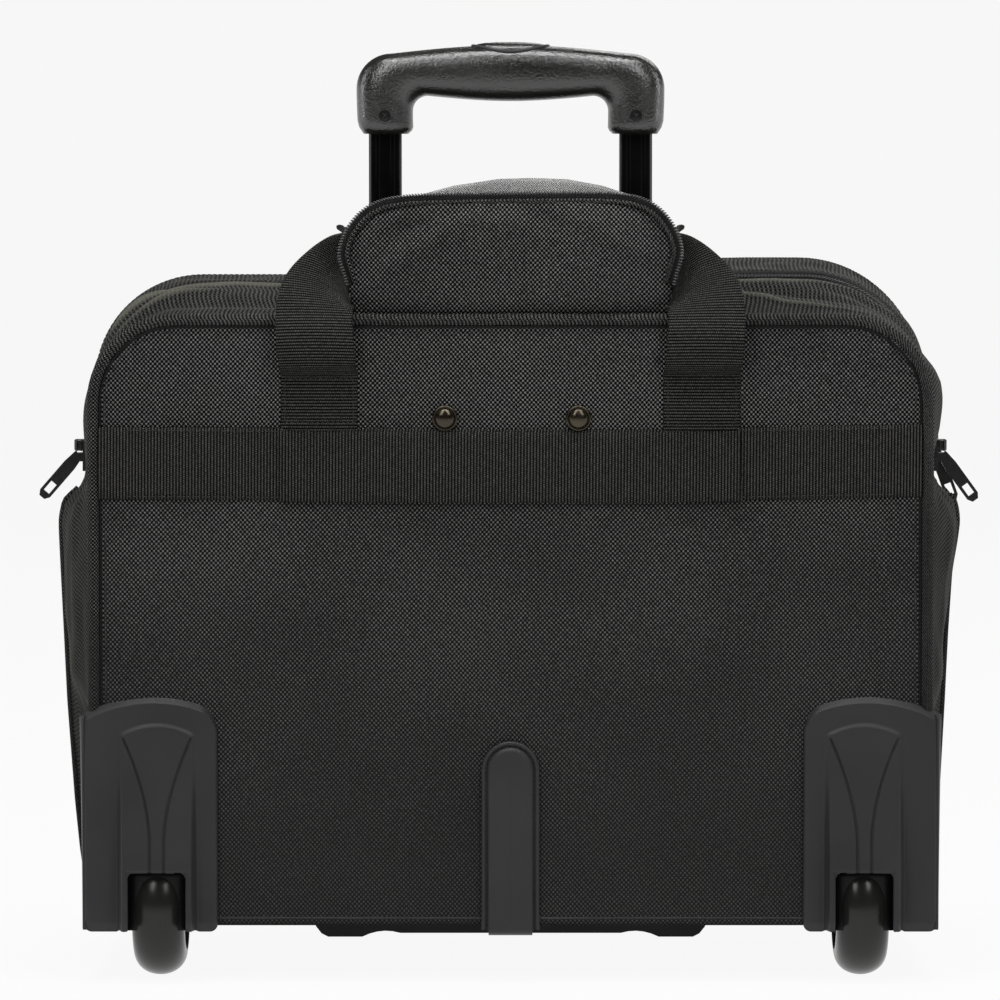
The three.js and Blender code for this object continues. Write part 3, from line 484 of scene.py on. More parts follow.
def joined(name, parts):
    """Joins pieces into one new piece, with their modifiers applied."""
    graph = bpy.context.evaluated_depsgraph_get()
    work = bmesh.new()
    slots = []
    for part in parts:
        mesh = bpy.data.meshes.new_from_object(part.evaluated_get(graph))
        mesh.transform(part.matrix_world)
        index = []
        for material in mesh.materials:
            if material not in slots:
                slots.append(material)
            index.append(slots.index(material))
        for polygon in mesh.polygons:
            polygon.material_index = index[polygon.material_index]
        work.from_mesh(mesh)
        bpy.data.meshes.remove(mesh)
    mesh = bpy.data.meshes.new(name)
    work.to_mesh(mesh)
    work.free()
    for material in slots:
        mesh.materials.append(material)
    for part in parts:
        bpy.data.objects.remove(part)
    return new_object(name, mesh)


def bevelled(piece, width=0.6, segments=2, angle=35):
    bevel = piece.modifiers.new("bevel", "BEVEL")
    bevel.width = width * MM
    bevel.segments = segments
    bevel.limit_method = "ANGLE"
    bevel.angle_limit = math.radians(angle)
    return piece


def copies(name, solid_points, solid_faces, places, material):
    """Many copies of one small solid; each place is (origin, x axis, y axis, z axis)."""
    solid = np.asarray(solid_points, float)
    points, faces = [], []
    for origin, x, y, z in places:
        base = len(points) * len(solid)
        points.append(np.asarray(origin) + solid[:, :1] * x + solid[:, 1:2] * y + solid[:, 2:] * z)
        faces.extend([[base + i for i in face] for face in solid_faces])
    return make(name, np.concatenate(points), faces, material)


def bead(length, width, height):
    """A small rounded bar along x, for a stitch or a zip tooth."""
    rings, sides = 4, 6
    points, faces = [], []
    for i in range(rings):
        t = -1 + 2 * i / (rings - 1)
        girth = math.sqrt(max(0.0, 1 - (abs(t) * 0.9) ** 3))
        for k in range(sides):
            a = 2 * math.pi * k / sides
            points.append((t * length / 2, math.cos(a) * width / 2 * girth, math.sin(a) * height / 2 * girth))
    for i in range(rings - 1):
        for k in range(sides):
            a, b = i * sides + k, i * sides + (k + 1) % sides
            faces.append((a, a + sides, b + sides, b))
    faces.append(tuple(range(sides)))
    faces.append(tuple(range((rings - 1) * sides, rings * sides))[::-1])
    return points, faces


def stitches(name, path, normal, pitch, length, girth):
    """A row of sewn stitches along a path; normal is the way out of the cloth."""
    count = max(2, int(run_length(np.asarray(path, float))[-1] / pitch))
    points = resample(path, count)
    tangent = tangents(points)
    normals = np.asarray(normal, float)
    if normals.ndim == 2:
        normals = resample(normals, count)
    normals = np.broadcast_to(normals, points.shape)
    places = []
    for p, t, n in zip(points, tangent, normals):
        up = n - t * (n @ t)
        up = unit(up)
        places.append((p + up * 0.1, t, np.cross(up, t), up))
    return copies(name, *bead(length, girth, girth), places, MAT["thread"])


def soft_noise(*at):
    """Smooth noise between -1 and 1."""
    return noise.noise(Vector(at))


def normals(grid):
    """The way out of a grid's surface at each of its points."""
    return unit(np.cross(np.gradient(grid, axis=1), np.gradient(grid, axis=0)))


def wrinkle(grid, amount, scale, seed, direction=None):
    """Moves a grid's points by smooth noise, along one direction or along the surface's own normals."""
    grid = np.array(grid, float)
    start = Vector((seed, seed * 0.37, -seed))
    shift = np.array([noise.noise(Vector(p) * (1 / scale) + start) for p in grid.reshape(-1, 3)])
    along = normals(grid) if direction is None else direction
    return grid + amount * shift.reshape(grid.shape[:2])[..., None] * along


def front_uv(grid):
    """A grid's own coordinates as seen from the front: x and z."""
    return np.stack([grid[..., 0], grid[..., 2]], -1)


# ---- The case's outline ----
def section(y):
    """Half width, height, corner radius and slack of the case at depth y."""
    values = np.array(SECTIONS)
    return [float(np.interp(y, values[:, 0], values[:, i])) for i in range(1, 5)]


def slack(z, amount, side):
    """How far a side stands out below the zips' ends; side is -1 for the left and 1 for the right."""
    heights, left, right = zip(*SLACK)
    return amount * float(np.interp(z, heights, left if side < 0 else right))


def outline(y, count=240, low=BOTTOM, grow=0.0):
    """Points (x, z) of the case at depth y: up the left side, over the top, down the right side."""
    half, top, corner, bulge = section(y)
    lift = float(np.interp(y, (BACK, ZIP_REAR, ZIP_FRONT, FRONT), (0, 5.5, 9.5, 3)))
    hidden = float(np.interp(y, (BACK + 30, BACK + 62), (1, 0)))

    def run(way, round_by):
        """One side and its top corner, upwards, as (distance from the middle, z)."""
        radius = corner * round_by
        points = []
        for z in np.linspace(low, top - radius, 60):
            clear = hidden * float(np.interp(z, (28, 128, 150), (1, 1, 0)))
            points.append((half + grow + slack(z, bulge, way) * (1 - clear) - 2.6 * clear, z))
        reach = radius + grow
        for a in np.linspace(0, math.pi / 2, 20)[1:]:
            points.append((half - radius + reach * math.cos(a), top - radius + reach * math.sin(a)))
        return points

    left = [(-x, z) for x, z in run(-1, 1.0)]
    softer = float(np.interp(y, (BACK + 40, ZIP_FRONT), (1.0, 1.2)))
    right = [(x, z + lift * (1 - math.exp(-(max(0, z - 250) / 60) ** 2))) for x, z in run(1, softer)]
    across = np.linspace(left[-1][0], right[-1][0], 24)[1:-1]
    ease = [(3 * t * t - 2 * t**3) for t in np.clip((across + 60) / 190, 0, 1)]
    top_line = [(x, left[-1][1] + (right[-1][1] - left[-1][1]) * e) for x, e in zip(across, ease)]
    return resample(left + top_line + right[::-1], count)


def arch_grid(y0, y1, rows, before=False, after=False):
    """A grid over the case's sides and top from depth y0 to y1. Below the zips it closes up to the seam that
    carries on from the zip before y0 or after y1."""
    out = []
    for share in np.linspace(0, 1, rows):
        y = y0 + (y1 - y0) * share
        line = outline(y, 420)
        seam = np.clip((ZIP_END + 3 - line[:, 1]) / 14, 0, 1) * (ZIP_HALF - 0.15)
        shift = seam * ((share if after else 0) - (1 - share if before else 0))
        out.append(np.stack([line[:, 0], y + shift, line[:, 1]], -1))
    return np.array(out)


def out_of(line):
    """The way out of the case at each point of an outline."""
    tangent = np.gradient(line, axis=0)
    return unit(np.stack([-tangent[:, 1], tangent[:, 0]], -1))


def panel_line(inset, count=420):
    """The back panel's piped edge down to the wheel housings, moved inward by inset."""
    low = 128.0
    half, top, corner = PANEL_HALF - inset, PANEL_TOP - inset, PANEL_CORNER - inset
    points = [(-half, z) for z in np.linspace(low, top - corner, 20)]
    for start, side in ((math.pi, -1), (math.pi / 2, 1)):
        for a in np.linspace(start, start - math.pi / 2, 16):
            x = side * (half - corner) + corner * math.cos(a)
            points.append((x, top - corner + corner * math.sin(a)))
    points += [(half, z) for z in np.linspace(top - corner, low, 20)]
    return resample(points, count)


def arched_half(half, top, corner, z):
    """Half width at height z of a panel with rounded top corners."""
    over = max(0.0, z - (top - corner))
    return half - corner + math.sqrt(max(0.0, corner**2 - over**2))


# ---- Back panel and what is sewn on it ----
def back_height(x, z):
    """The padded panel's face: full in the middle, drawn in along the piping."""
    edge = clipped((PANEL_HALF - 1.0 - abs(x)) / 16) * clipped((PANEL_TOP - 1.5 - z) / 16)
    full = edge * (2 - edge)
    dent = soft_noise(x / 70, z / 70, 3.1) * 0.9 + soft_noise(x / 28, z / 28, 7.7) * 0.25
    return BACK + 1.6 - 2.6 * full - dent * full


def build_back_panel():
    rows, columns = 150, 190
    half, top, corner = PANEL_HALF - PANEL_INSET, PANEL_TOP - PANEL_INSET, PANEL_CORNER - PANEL_INSET
    grid = []
    for z in top - (top - BOTTOM) * np.linspace(0, 1, rows) ** 1.15:
        w = arched_half(half, top, corner, z)
        grid.append([(x, back_height(x, z), z) for x in np.linspace(-w, w, columns)])
    curl = grid[-1]
    for a in np.linspace(20, 90, 5):
        r = 3.5
        back, down = r * (1 - math.cos(math.radians(a))), r * math.sin(math.radians(a))
        grid.append([(x, y + back, BOTTOM - down + 3) for x, y, z in curl])
    grid = np.array(grid)
    fabrics = [MAT["panel"], MAT["inside"]]
    panel = surface("back_panel_fabric", grid, fabrics, front_uv(grid), flip=True, thickness=2.5)
    mount(panel, "case", "nylon", "back_panel")

    line = panel_line(1.7)
    path = at_depth(line, BACK + 1.4)
    piping = sweep("back_piping_cord", path, circle(3.1, 14), MAT["piping"], out=(0, -1, 0))
    mount(piping, "case", "piping", "back_piping")
    line = panel_line(5.2)
    path = at_depth(line, [back_height(x, z) + 0.1 for x, z in line])
    groove = sweep("back_piping_groove", path, circle(0.8, 8), MAT["recess"], out=(0, -1, 0))
    mount(groove, "case", "piping")
    inner = panel_line(7.6)
    seam = at_depth(inner, [back_height(x, z) for x, z in inner])
    mount(stitches("back_panel_seam", seam, (0, -1, 0), 2.6, 2.0, 0.5), "case", "piping")


def web_section(width, thickness):
    """A strap's section with rounded selvedges."""
    w, t = width / 2, thickness / 2
    across = np.linspace(-w + t, w - t, 12)
    top = [(x, t * (1 + 0.12 * math.cos(math.pi * x / w))) for x in across]
    return np.array([*top, (w, 0), *[(x, -t) for x in across[::-1]], (-w, 0)])


def build_band():
    y = BACK - 1.2
    low, high = (float(v) for v in (node_box("webbing_band")[0][2], node_box("webbing_band")[1][2]))
    xs = np.linspace(-203.5, 203.5, 160)
    mid = (low + high) / 2

    def face(x):
        return min(y, back_height(x, mid) - 0.9) - 0.25 * soft_noise(x / 40, 1.5, 0)

    tilt = np.interp(xs, (-205, -60, 60, 205), (0.6, -0.4, -0.8, 1.8))
    path = np.stack([xs, [face(x) for x in xs], mid + tilt], -1)
    band = sweep("webbing_band_cloth", path, web_section(high - low, 1.5), MAT["band"])
    mount(band, "case", "webbing", "webbing_band")
    inner = np.array([p for p in path if abs(p[0]) < 114.5]) + (0, -1.5, -0.9)
    patch = sweep("webbing_band_middle", inner, web_section(high - low - 0.6, 1.3), MAT["band"])
    mount(patch, "case", "webbing")
    rows = []
    for z in (high - 1.6, low + 1.6):
        line = path.copy()
        line[:, 2] += z - mid
        line[:, 1] -= 0.85
        rows.append(stitches("edge", line[6:-6], (0, -1, 0), 2.4, 1.8, 0.45))
    for x in (-112.6, 112.6):
        line = [(x, y - 2.4, z) for z in np.linspace(low + 1, high - 1, 20)]
        rows.append(stitches("bar", line, (0, -1, 0), 2.2, 1.7, 0.5))
    mount(joined("webbing_band_stitches", rows), "case", "webbing")


def build_studs():
    for name, side in SIDES:
        low, high = node_box(f"snap_stud_{name}")
        centre = ((low[0] + high[0]) / 2 + 0.6, BACK - 1.7, (low[2] + high[2]) / 2 - 1.7)
        flange = [(0, 0), (6.3, 0), (6.4, -0.5), (6.0, -0.9), (5.3, -1.0), (5.1, -0.7)]
        dome = [(5.0, -0.9), (4.9, -1.8), (4.2, -2.7), (3.0, -3.3), (1.6, -3.6), (0, -3.7)]
        stud = lathe(f"snap_stud_{name}_cap", flange + dome, centre, MAT["brass"], 40, "Y")
        mount(stud, "case", "antique_brass", f"snap_stud_{name}")


# ---- Gussets and zips ----
def ridge(x, y, x0, y0, x1, y1, width, height):
    """A soft fold of the given width and height that runs from (x0, y0) to (x1, y1), fading at its ends."""
    a, b, p = np.array((x0, y0)), np.array((x1, y1)), np.array((x, y))
    along = b - a
    t = float(np.clip((p - a) @ along / (along @ along), -0.15, 1.15))
    away = np.linalg.norm(p - (a + along * t))
    fade = math.sin(math.pi * (t + 0.15) / 1.3) ** 0.6 if -0.15 < t < 1.15 else 0.0
    return height * fade * math.exp(-((away / width) ** 2))


TOP_FOLDS = (
    (-200, BACK + 47, -176, BACK + 50, 4, 4.0),
    (-186, BACK + 52, -96, BACK + 56, 4.5, 6.0),
    (-196, BACK + 30, -150, BACK + 42, 3.5, 3.2),
    (-180, BACK + 24, -92, BACK + 26, 8, -3.0),
    (98, BACK + 57, 170, BACK + 52, 5.5, 3.4),
    (98, BACK + 30, 166, BACK + 14, 2.2, 2.7),
    (112, BACK + 44, 176, BACK + 30, 5, -3.5),
    (150, BACK + 50, 204, BACK + 36, 6, -2.0),
)


def fold_gusset(grid, seed):
    """Gives a gusset the folds of slack cloth, none at its seams, and says where the folds' tops are, for the
    painted highlight there.
    """
    rows, columns = grid.shape[:2]
    normal = normals(grid)
    out = np.array(grid)
    crest_highlight = np.zeros((rows, columns))
    for r in range(rows):
        hold = math.sin(math.pi * r / (rows - 1)) ** 0.7
        for c in range(columns):
            x, y, z = grid[r, c]
            move = 2.6 * soft_noise(x / 46 + seed, y / 30, z / 46)
            move += 1.3 * soft_noise(x / 17, y / 14 + seed, z / 22)
            if z > 296:
                fold = sum(ridge(x, y, *fold) for fold in TOP_FOLDS)
                move += fold
                crest_highlight[r, c] = fold / 3.4
            if x > 200 and y < ZIP_REAR:
                move += 2.9 * smooth(z, 254, 276) * smooth(312 - z, 0, 14)
            out[r, c] += normal[r, c] * move * hold
    return out, crest_highlight


def paint_crest_highlights(piece, crest_highlight):
    """Stores the folds' tops on the mesh, where the gusset fabric gets a painted highlight."""
    layer = piece.data.attributes.new("crest_highlight", "FLOAT", "POINT")
    layer.data.foreach_set("value", np.clip(crest_highlight, 0, 1).ravel())


WELL_HALF, WELL_Y0, WELL_Y1, WELL_FLOOR = 88.0, BACK + 13, BACK + 61, 320.0


def well_line(inset, count=200):
    """The opening round the trolley tubes, seen from above."""
    half, mid = WELL_HALF - inset, (WELL_Y0 + WELL_Y1) / 2
    depth = WELL_Y1 - WELL_Y0 - 2 * inset
    line = rounded(2 * half, depth, 12 - min(inset, 6), 10) + (0, mid)
    return ring_of(line, count)


def cut_well(piece):
    """Opens the top of the rear gusset round the trolley tubes."""
    half, y0, y1 = WELL_HALF * MM, WELL_Y0 * MM, WELL_Y1 * MM
    across, deep = (1, 0, 0), (0, 1, 0)
    cuts = (((half, 0, 0), across), ((-half, 0, 0), across), ((0, y0, 0), deep), ((0, y1, 0), deep))
    with editing(piece) as work:
        for place, normal in cuts:
            top = [part for part in [*work.verts, *work.edges, *work.faces] if in_top(part)]
            bmesh.ops.bisect_plane(work, geom=top, plane_co=place, plane_no=normal)
        gone = []
        for face in work.faces:
            c = face.calc_center_median()
            if c.z > 0.3 and abs(c.x) < half and y0 < c.y < y1:
                gone.append(face)
        bmesh.ops.delete(work, geom=gone, context="FACES")


def in_top(part):
    """Whether a vertex, edge or face lies in the middle of the case's top."""
    points = [part] if isinstance(part, bmesh.types.BMVert) else part.verts
    return all(v.co.z > 0.3 and abs(v.co.x) < 0.12 for v in points)


def build_gussets():
    fabrics = [MAT["gusset"], MAT["inside"]]
    rear, crest_highlight = fold_gusset(arch_grid(BACK + 3.4, ZIP_REAR - ZIP_HALF, 66, after=True), 1.0)
    piece = surface("rear_gusset_fabric", rear, fabrics, thickness=1.6)
    paint_crest_highlights(piece, crest_highlight)
    cut_well(piece)
    mount(piece, "case", "nylon", "rear_gusset")
    between = arch_grid(ZIP_REAR + ZIP_HALF, ZIP_FRONT - ZIP_HALF, 44, before=True, after=True)
    middle, _ = fold_gusset(between, 5.0)
    piece = surface("middle_gusset_fabric", middle, fabrics, thickness=1.6)
    mount(piece, "case", "nylon", "middle_gusset")


def zip_chain(name, line, along, out, material=None, rows=(-1, 1), pitch=1.9, tooth=2.6):
    """Coil teeth along a path. along and out point across the zip and out of the cloth at each place."""
    count = int(run_length(line)[-1] / pitch)
    points, across, outward = (resample(v, count) for v in (line, along, out))
    tangent = tangents(points)
    places = []
    for side in rows:
        for i in range(count):
            shift = tangent[i] * (pitch / 2 if side > 0 else 0)
            places.append((points[i] + across[i] * side * 1.15 + shift, across[i], tangent[i], outward[i]))
    return copies(name, *bead(tooth, 1.15, 1.5), places, material or MAT["coil"])


def build_zip(name, y, node):
    line = outline(y, 400, ZIP_END)
    out3 = at_depth(out_of(line), 0)
    path = at_depth(line, y)
    # The tape from its middle to its edge: distance across the zip, and height against the cloth
    tape_half = ((0.4, -1.5), (1.2, -1.4), (2.6, -0.6), (ZIP_HALF, -0.2), (ZIP_HALF + 0.6, -1.6))
    tape_section = [*[(-offset, rise) for offset, rise in tape_half[::-1]], *tape_half]

    def beside(offset):
        """The path, moved along the cloth by an offset across the zip."""
        return at_depth(outline(y + offset, 400, ZIP_END), y + offset)

    grid = np.array([beside(offset) + out3 * rise for offset, rise in tape_section])
    tape = surface(f"{name}_tape", grid, MAT["tape"], thickness=0.7)
    across = unit(beside(1.0) - beside(-1.0))
    coil = zip_chain(f"{name}_coil", path - out3 * 0.5, across, out3, MAT["zip_teeth"], pitch=1.7, tooth=2.4)
    mount(joined(f"{name}_chain", [tape, coil]), "case", "zip_tape", node)
    seams = []
    for offset in (-ZIP_HALF - 1.6, ZIP_HALF + 1.6):
        row = beside(offset) + out3 * 0.15
        seams.append(stitches("seam", row, out3, 2.8, 2.0, 0.45))
    mount(joined(f"{name}_seams", seams), "case", "zip_tape")
    cords = []
    for way in (-1, 1):
        side = [p for p in outline(y, 400) if p[1] < ZIP_END - 6 and p[0] * way > 0]
        side.sort(key=lambda p: p[1])
        path = [(x + way * 0.5, y, z) for x, z in resample(side, 80)]
        cords.append(sweep("cord", path, circle(1.5, 10), MAT["piping"], out=(1, 0, 0)))
    mount(joined(f"{name}_side_seams", cords), "case", "piping")


# ---- Flap over the trolley handle ----
# The flap's right half and its lining's top edge: x, and height above the hinge or the ground
FLAP_HALF = (
    (80, 0),
    (80.5, 10),
    (82.5, 20),
    (85.5, 30),
    (85, 37),
    (81.5, 45),
    (75, 53),
    (66, 58.5),
    (54, 61),
    (36, 61.8),
    (0, 62),
)
LINING_TOP = (
    (-76, 376),
    (-60, 384),
    (-42, 391),
    (-28, 394.8),
    (-6, 398),
    (10, 398.5),
    (28, 397.8),
    (46, 394.6),
    (60, 390),
    (72, 383),
    (80, 376),
)


def flap_outline(inset, count):
    """The flap's edge as (x, height above the hinge), moved inward by inset except near the hinge."""
    right = spline(FLAP_HALF, 80)
    whole = np.vstack([right * (-1, 1), right[::-1][1:]])
    lift = np.interp(whole[:, 0], (-86, -30, 50, 86), (-1.2, -0.6, 0.3, 0.7))
    whole[:, 1] += lift * (whole[:, 1] / 62)
    whole = resample(whole, count)
    if inset:
        normal = out_of(whole)
        ends = [0.25 + 0.75 * smooth(h, 12, 26) for _, h in whole]
        whole = whole - normal * inset * np.array(ends)[:, None]
    return whole


def flap_point(x, h, belly):
    """A place on the flap, x across and h above its hinge; belly is how far it stands out there."""
    lean = 2.0 - h * 0.06
    return (x, FLAP_Y + lean - belly, FLAP_HINGE_Z - 4 + h * 1.03)


def build_flap():
    edge = flap_outline(5.2, 180)
    half = len(edge) // 2
    left, right = edge[:half], edge[::-1][:half]
    columns = 90
    grid = []
    for (x0, h0), (x1, h1) in zip(left, right):
        row = []
        for t in np.linspace(0, 1, columns):
            x = x0 + (x1 - x0) * t
            h = h0 + (h1 - h0) * t
            puff = (1 - (2 * t - 1) ** 6) * min(1, max(0, h - 0.5) / 9) ** 0.5 * min(1, max(0, 62 - h) / 14)
            crease = 2.4 * soft_noise(x / 24, h / 30, 2.2) + 0.6 * soft_noise(x / 9, h / 12, 5.2)
            crease += ridge(x, h, -74, 16, -30, 44, 6, 2.8) + ridge(x, h, 40, 46, 74, 26, 5, 2.2)
            crease -= ridge(x, h, -66, 38, -26, 54, 5, 1.8) + ridge(x, h, 4, 54, 28, 44, 5, 2.2)
            belly = 7.0 * puff + crease * puff
            row.append(flap_point(x, h, belly))
        grid.append(row)
    grid = np.array(grid)
    fabrics = [MAT["panel"], MAT["lining"]]
    panel = surface("handle_flap_fabric", grid, fabrics, front_uv(grid), thickness=1.4)
    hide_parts("handle_flap")
    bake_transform(panel)

    border = flap_outline(0.0, 300)
    border = border[border[:, 1] > 16]
    rim = np.array([flap_point(x, h, 0.5) for x, h in border])
    out3 = at_depth(out_of(border), 0)
    edges = ((6.4, 0.4), (4.6, 1.0), (2.8, 0.7), (1.0, 0.2))
    grid = np.array([rim - out3 * inward + np.array((0, -toward, 0)) for inward, toward in edges])
    tape = surface("tape", grid, MAT["tape"], thickness=0.9)
    cord = sweep("cord", rim - out3 * 5.0 + (0, -0.9, 0), circle(1.2, 8), MAT["piping"], out=(0, -1, 0))
    toward = np.broadcast_to((0.0, -1.0, 0.0), rim.shape)
    coil = zip_chain("coil", rim - out3 * 1.0, out3, toward, MAT["teeth"], rows=(0,), pitch=1.45, tooth=2.3)
    mount(joined("flap_zip_half", [tape, cord, coil]), "handle_flap", "zip_teeth", "flap_zip")

    xs, tops = zip(*LINING_TOP)
    rows = []
    for t in np.linspace(0, 1, 30):
        row = []
        for x in np.linspace(-74, 78, 80):
            h = 6 + (float(np.interp(x, xs, tops)) - FLAP_HINGE_Z - 4) * t
            y = 5.0 + 1.2 * soft_noise(x / 22, h / 16, 9.0) + 5 * t * t
            row.append((x, FLAP_Y + y - h * 0.05, FLAP_HINGE_Z - 2 + h))
        rows.append(row)
    lining = surface("flap_lining_cloth", rows, MAT["lining"], flip=True, thickness=0.9)
    mount(lining, "handle_flap", "lining", "flap_lining")


# ---- Webbing handles ----
# Places along the right half of each carry handle: x, y from the back panel, z, the way across the webbing to
# its inner edge, and the share of its width
REAR_HANDLE = (
    (94.5, -1.6, 243, 1, 0, 0, 1),
    (94.5, -1.8, 262, 1, 0, 0, 1),
    (94.5, -2.0, 280, 1, 0, 0, 1),
    (94.5, -2.1, 298, 1, 0, 0, 1),
    (94.6, -3.4, 302, 1, 0, 0, 1),
    (94.8, -7.6, 304.2, 1, 0, 0, 1),
    (95.2, -11.4, 308, 1, 0, 0, 1),
    (95.8, -13.2, 314.5, 1, 0, 0, 1),
    (96.4, -12.6, 323, 1, 0, 0, 1),
    (96.6, -9, 331, 1, 0, -0.05, 1),
    (95.8, -4.5, 337.5, 0.97, 0, -0.2, 1),
    (93.8, 1.8, 342.6, 0.9, 0, -0.4, 1),
    (89.8, 12, 347.2, 0.66, 0, -0.75, 0.98),
    (85.8, 26, 352.8, 0.24, 0, -0.97, 0.93),
    (82.2, 42, 357, 0.03, 0, -1, 0.8),
    (79.5, 54, 361.5, 0.1, -0.3, -0.85, 0.75),
    (74.5, 66, 366, 0.22, -0.75, -0.5, 0.82),
    (64, 76, 369, 0.1, -0.9, -0.35, 0.92),
    (45, 81, 370.5, 0, -0.97, -0.2, 1),
    (15, 83, 370, 0, -1, -0.1, 1),
    (0, 83, 370, 0, -1, -0.1, 1),
)
FRONT_HANDLE = (
    (95, 179.4, 262, 1, 0, 0, 1),
    (95, 180.6, 280, 1, 0, 0, 1),
    (95, 181.2, 294, 1, 0, 0, 1),
    (95, 186, 300, 1, 0, 0, 1),
    (95, 195, 297, 1, 0, 0, 1),
    (95, 201, 287, 1, 0, 0, 1),
    (94.5, 203.5, 272, 1, 0, 0, 1),
    (92, 203.5, 256, 0.98, 0, 0.21, 1),
    (84, 203.5, 242, 0.81, 0, 0.59, 1),
    (70, 203.5, 233, 0.47, 0, 0.88, 1),
    (50, 203.5, 229, 0.17, 0, 0.98, 1),
    (24, 203.5, 228, 0, 0, 1, 1),
    (0, 203.5, 228, 0, 0, 1, 1),
)


def strap(name, places, count, wrap_half):
    """A webbing handle through the places of its right half, mirrored.

    The middle is folded into a hand grip as far as wrap_half to either side.
    """
    half = spline(places, count)
    left = half * (-1, 1, 1, -1, 1, 1, 1)
    line = np.vstack([left, half[::-1][1:]])
    path = line[:, :3] + (0, BACK, 0)
    tangent = tangents(path)
    wide = line[:, 3:6] * (-1, 1, 1)
    wide = unit(wide - (wide * tangent).sum(1, keepdims=True) * tangent)
    thick = np.cross(tangent, wide)
    flat = web_section(WEB_WIDTH, WEB_THICK)
    grid, uv = [], []
    for p, w, t, s, share in zip(path, wide, thick, run_length(path), line[:, 6]):
        fold = np.clip((wrap_half - abs(p[0])) / 12, 0, 1)
        fold = fold * fold * (3 - 2 * fold)
        width = share * (1 - 0.42 * fold)
        ring = flat * (width, 1.0)
        ring[:, 1] *= 1 + 2.2 * fold * np.maximum(0, 1 - (ring[:, 0] / (WEB_WIDTH / 2 * width)) ** 2)
        cup = 1.0 * math.sin(s / 23.0) * (ring[:, 0] / (WEB_WIDTH / 2)) ** 2
        ring = np.vstack([ring, ring[:1]])
        cup = np.append(cup, cup[0])
        grid.append(p + w * ring[:, :1] + t * (ring[:, 1:] + cup[:, None] * 0.5))
        uv.append(ring[:, 0])
    grid = np.array(grid)
    steps = np.linalg.norm(np.diff(grid, axis=0), axis=2)
    from_left = np.vstack([np.zeros((1, grid.shape[1])), np.cumsum(steps, 0)])
    from_right = from_left.mean(1)[-1] + from_left - from_left[-1]
    turn = np.clip(line[:, :1] / 60 + 0.5, 0, 1)
    along = from_left + (from_right - from_left) * turn
    piece = weld(surface(name, grid, MAT["webbing"], np.stack([np.array(uv), along], -1), flip=True))
    close_ends(piece)
    return piece


def build_handles():
    grip_half = 52
    rear = strap("carry_handle_rear", REAR_HANDLE, 150, grip_half)
    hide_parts("carry_strap_left", "carry_strap_right", "carry_loop_rear")
    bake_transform(rear)
    front = strap("carry_handle_front", FRONT_HANDLE, 120, grip_half)
    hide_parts("carry_loop_front")
    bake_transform(front)
    rows = []
    strap_x, sewn_half = 94.5, 16.8
    for _, side in SIDES:
        x0, x1 = side * (strap_x - sewn_half), side * (strap_x + sewn_half)
        y = BACK - 3.4
        box = [(x0, y, 278), (x0, y - 0.4, 300), (x1, y - 0.4, 300), (x1, y, 278), (x0, y, 278)]
        rows.append(stitches("box", resample(box, 80), (0, -1, 0), 2.4, 1.8, 0.5))
    mount(joined("strap_stitches", rows), "case", "webbing")


# ---- Trolley handle ----
GRIP_ROUND = 0.8


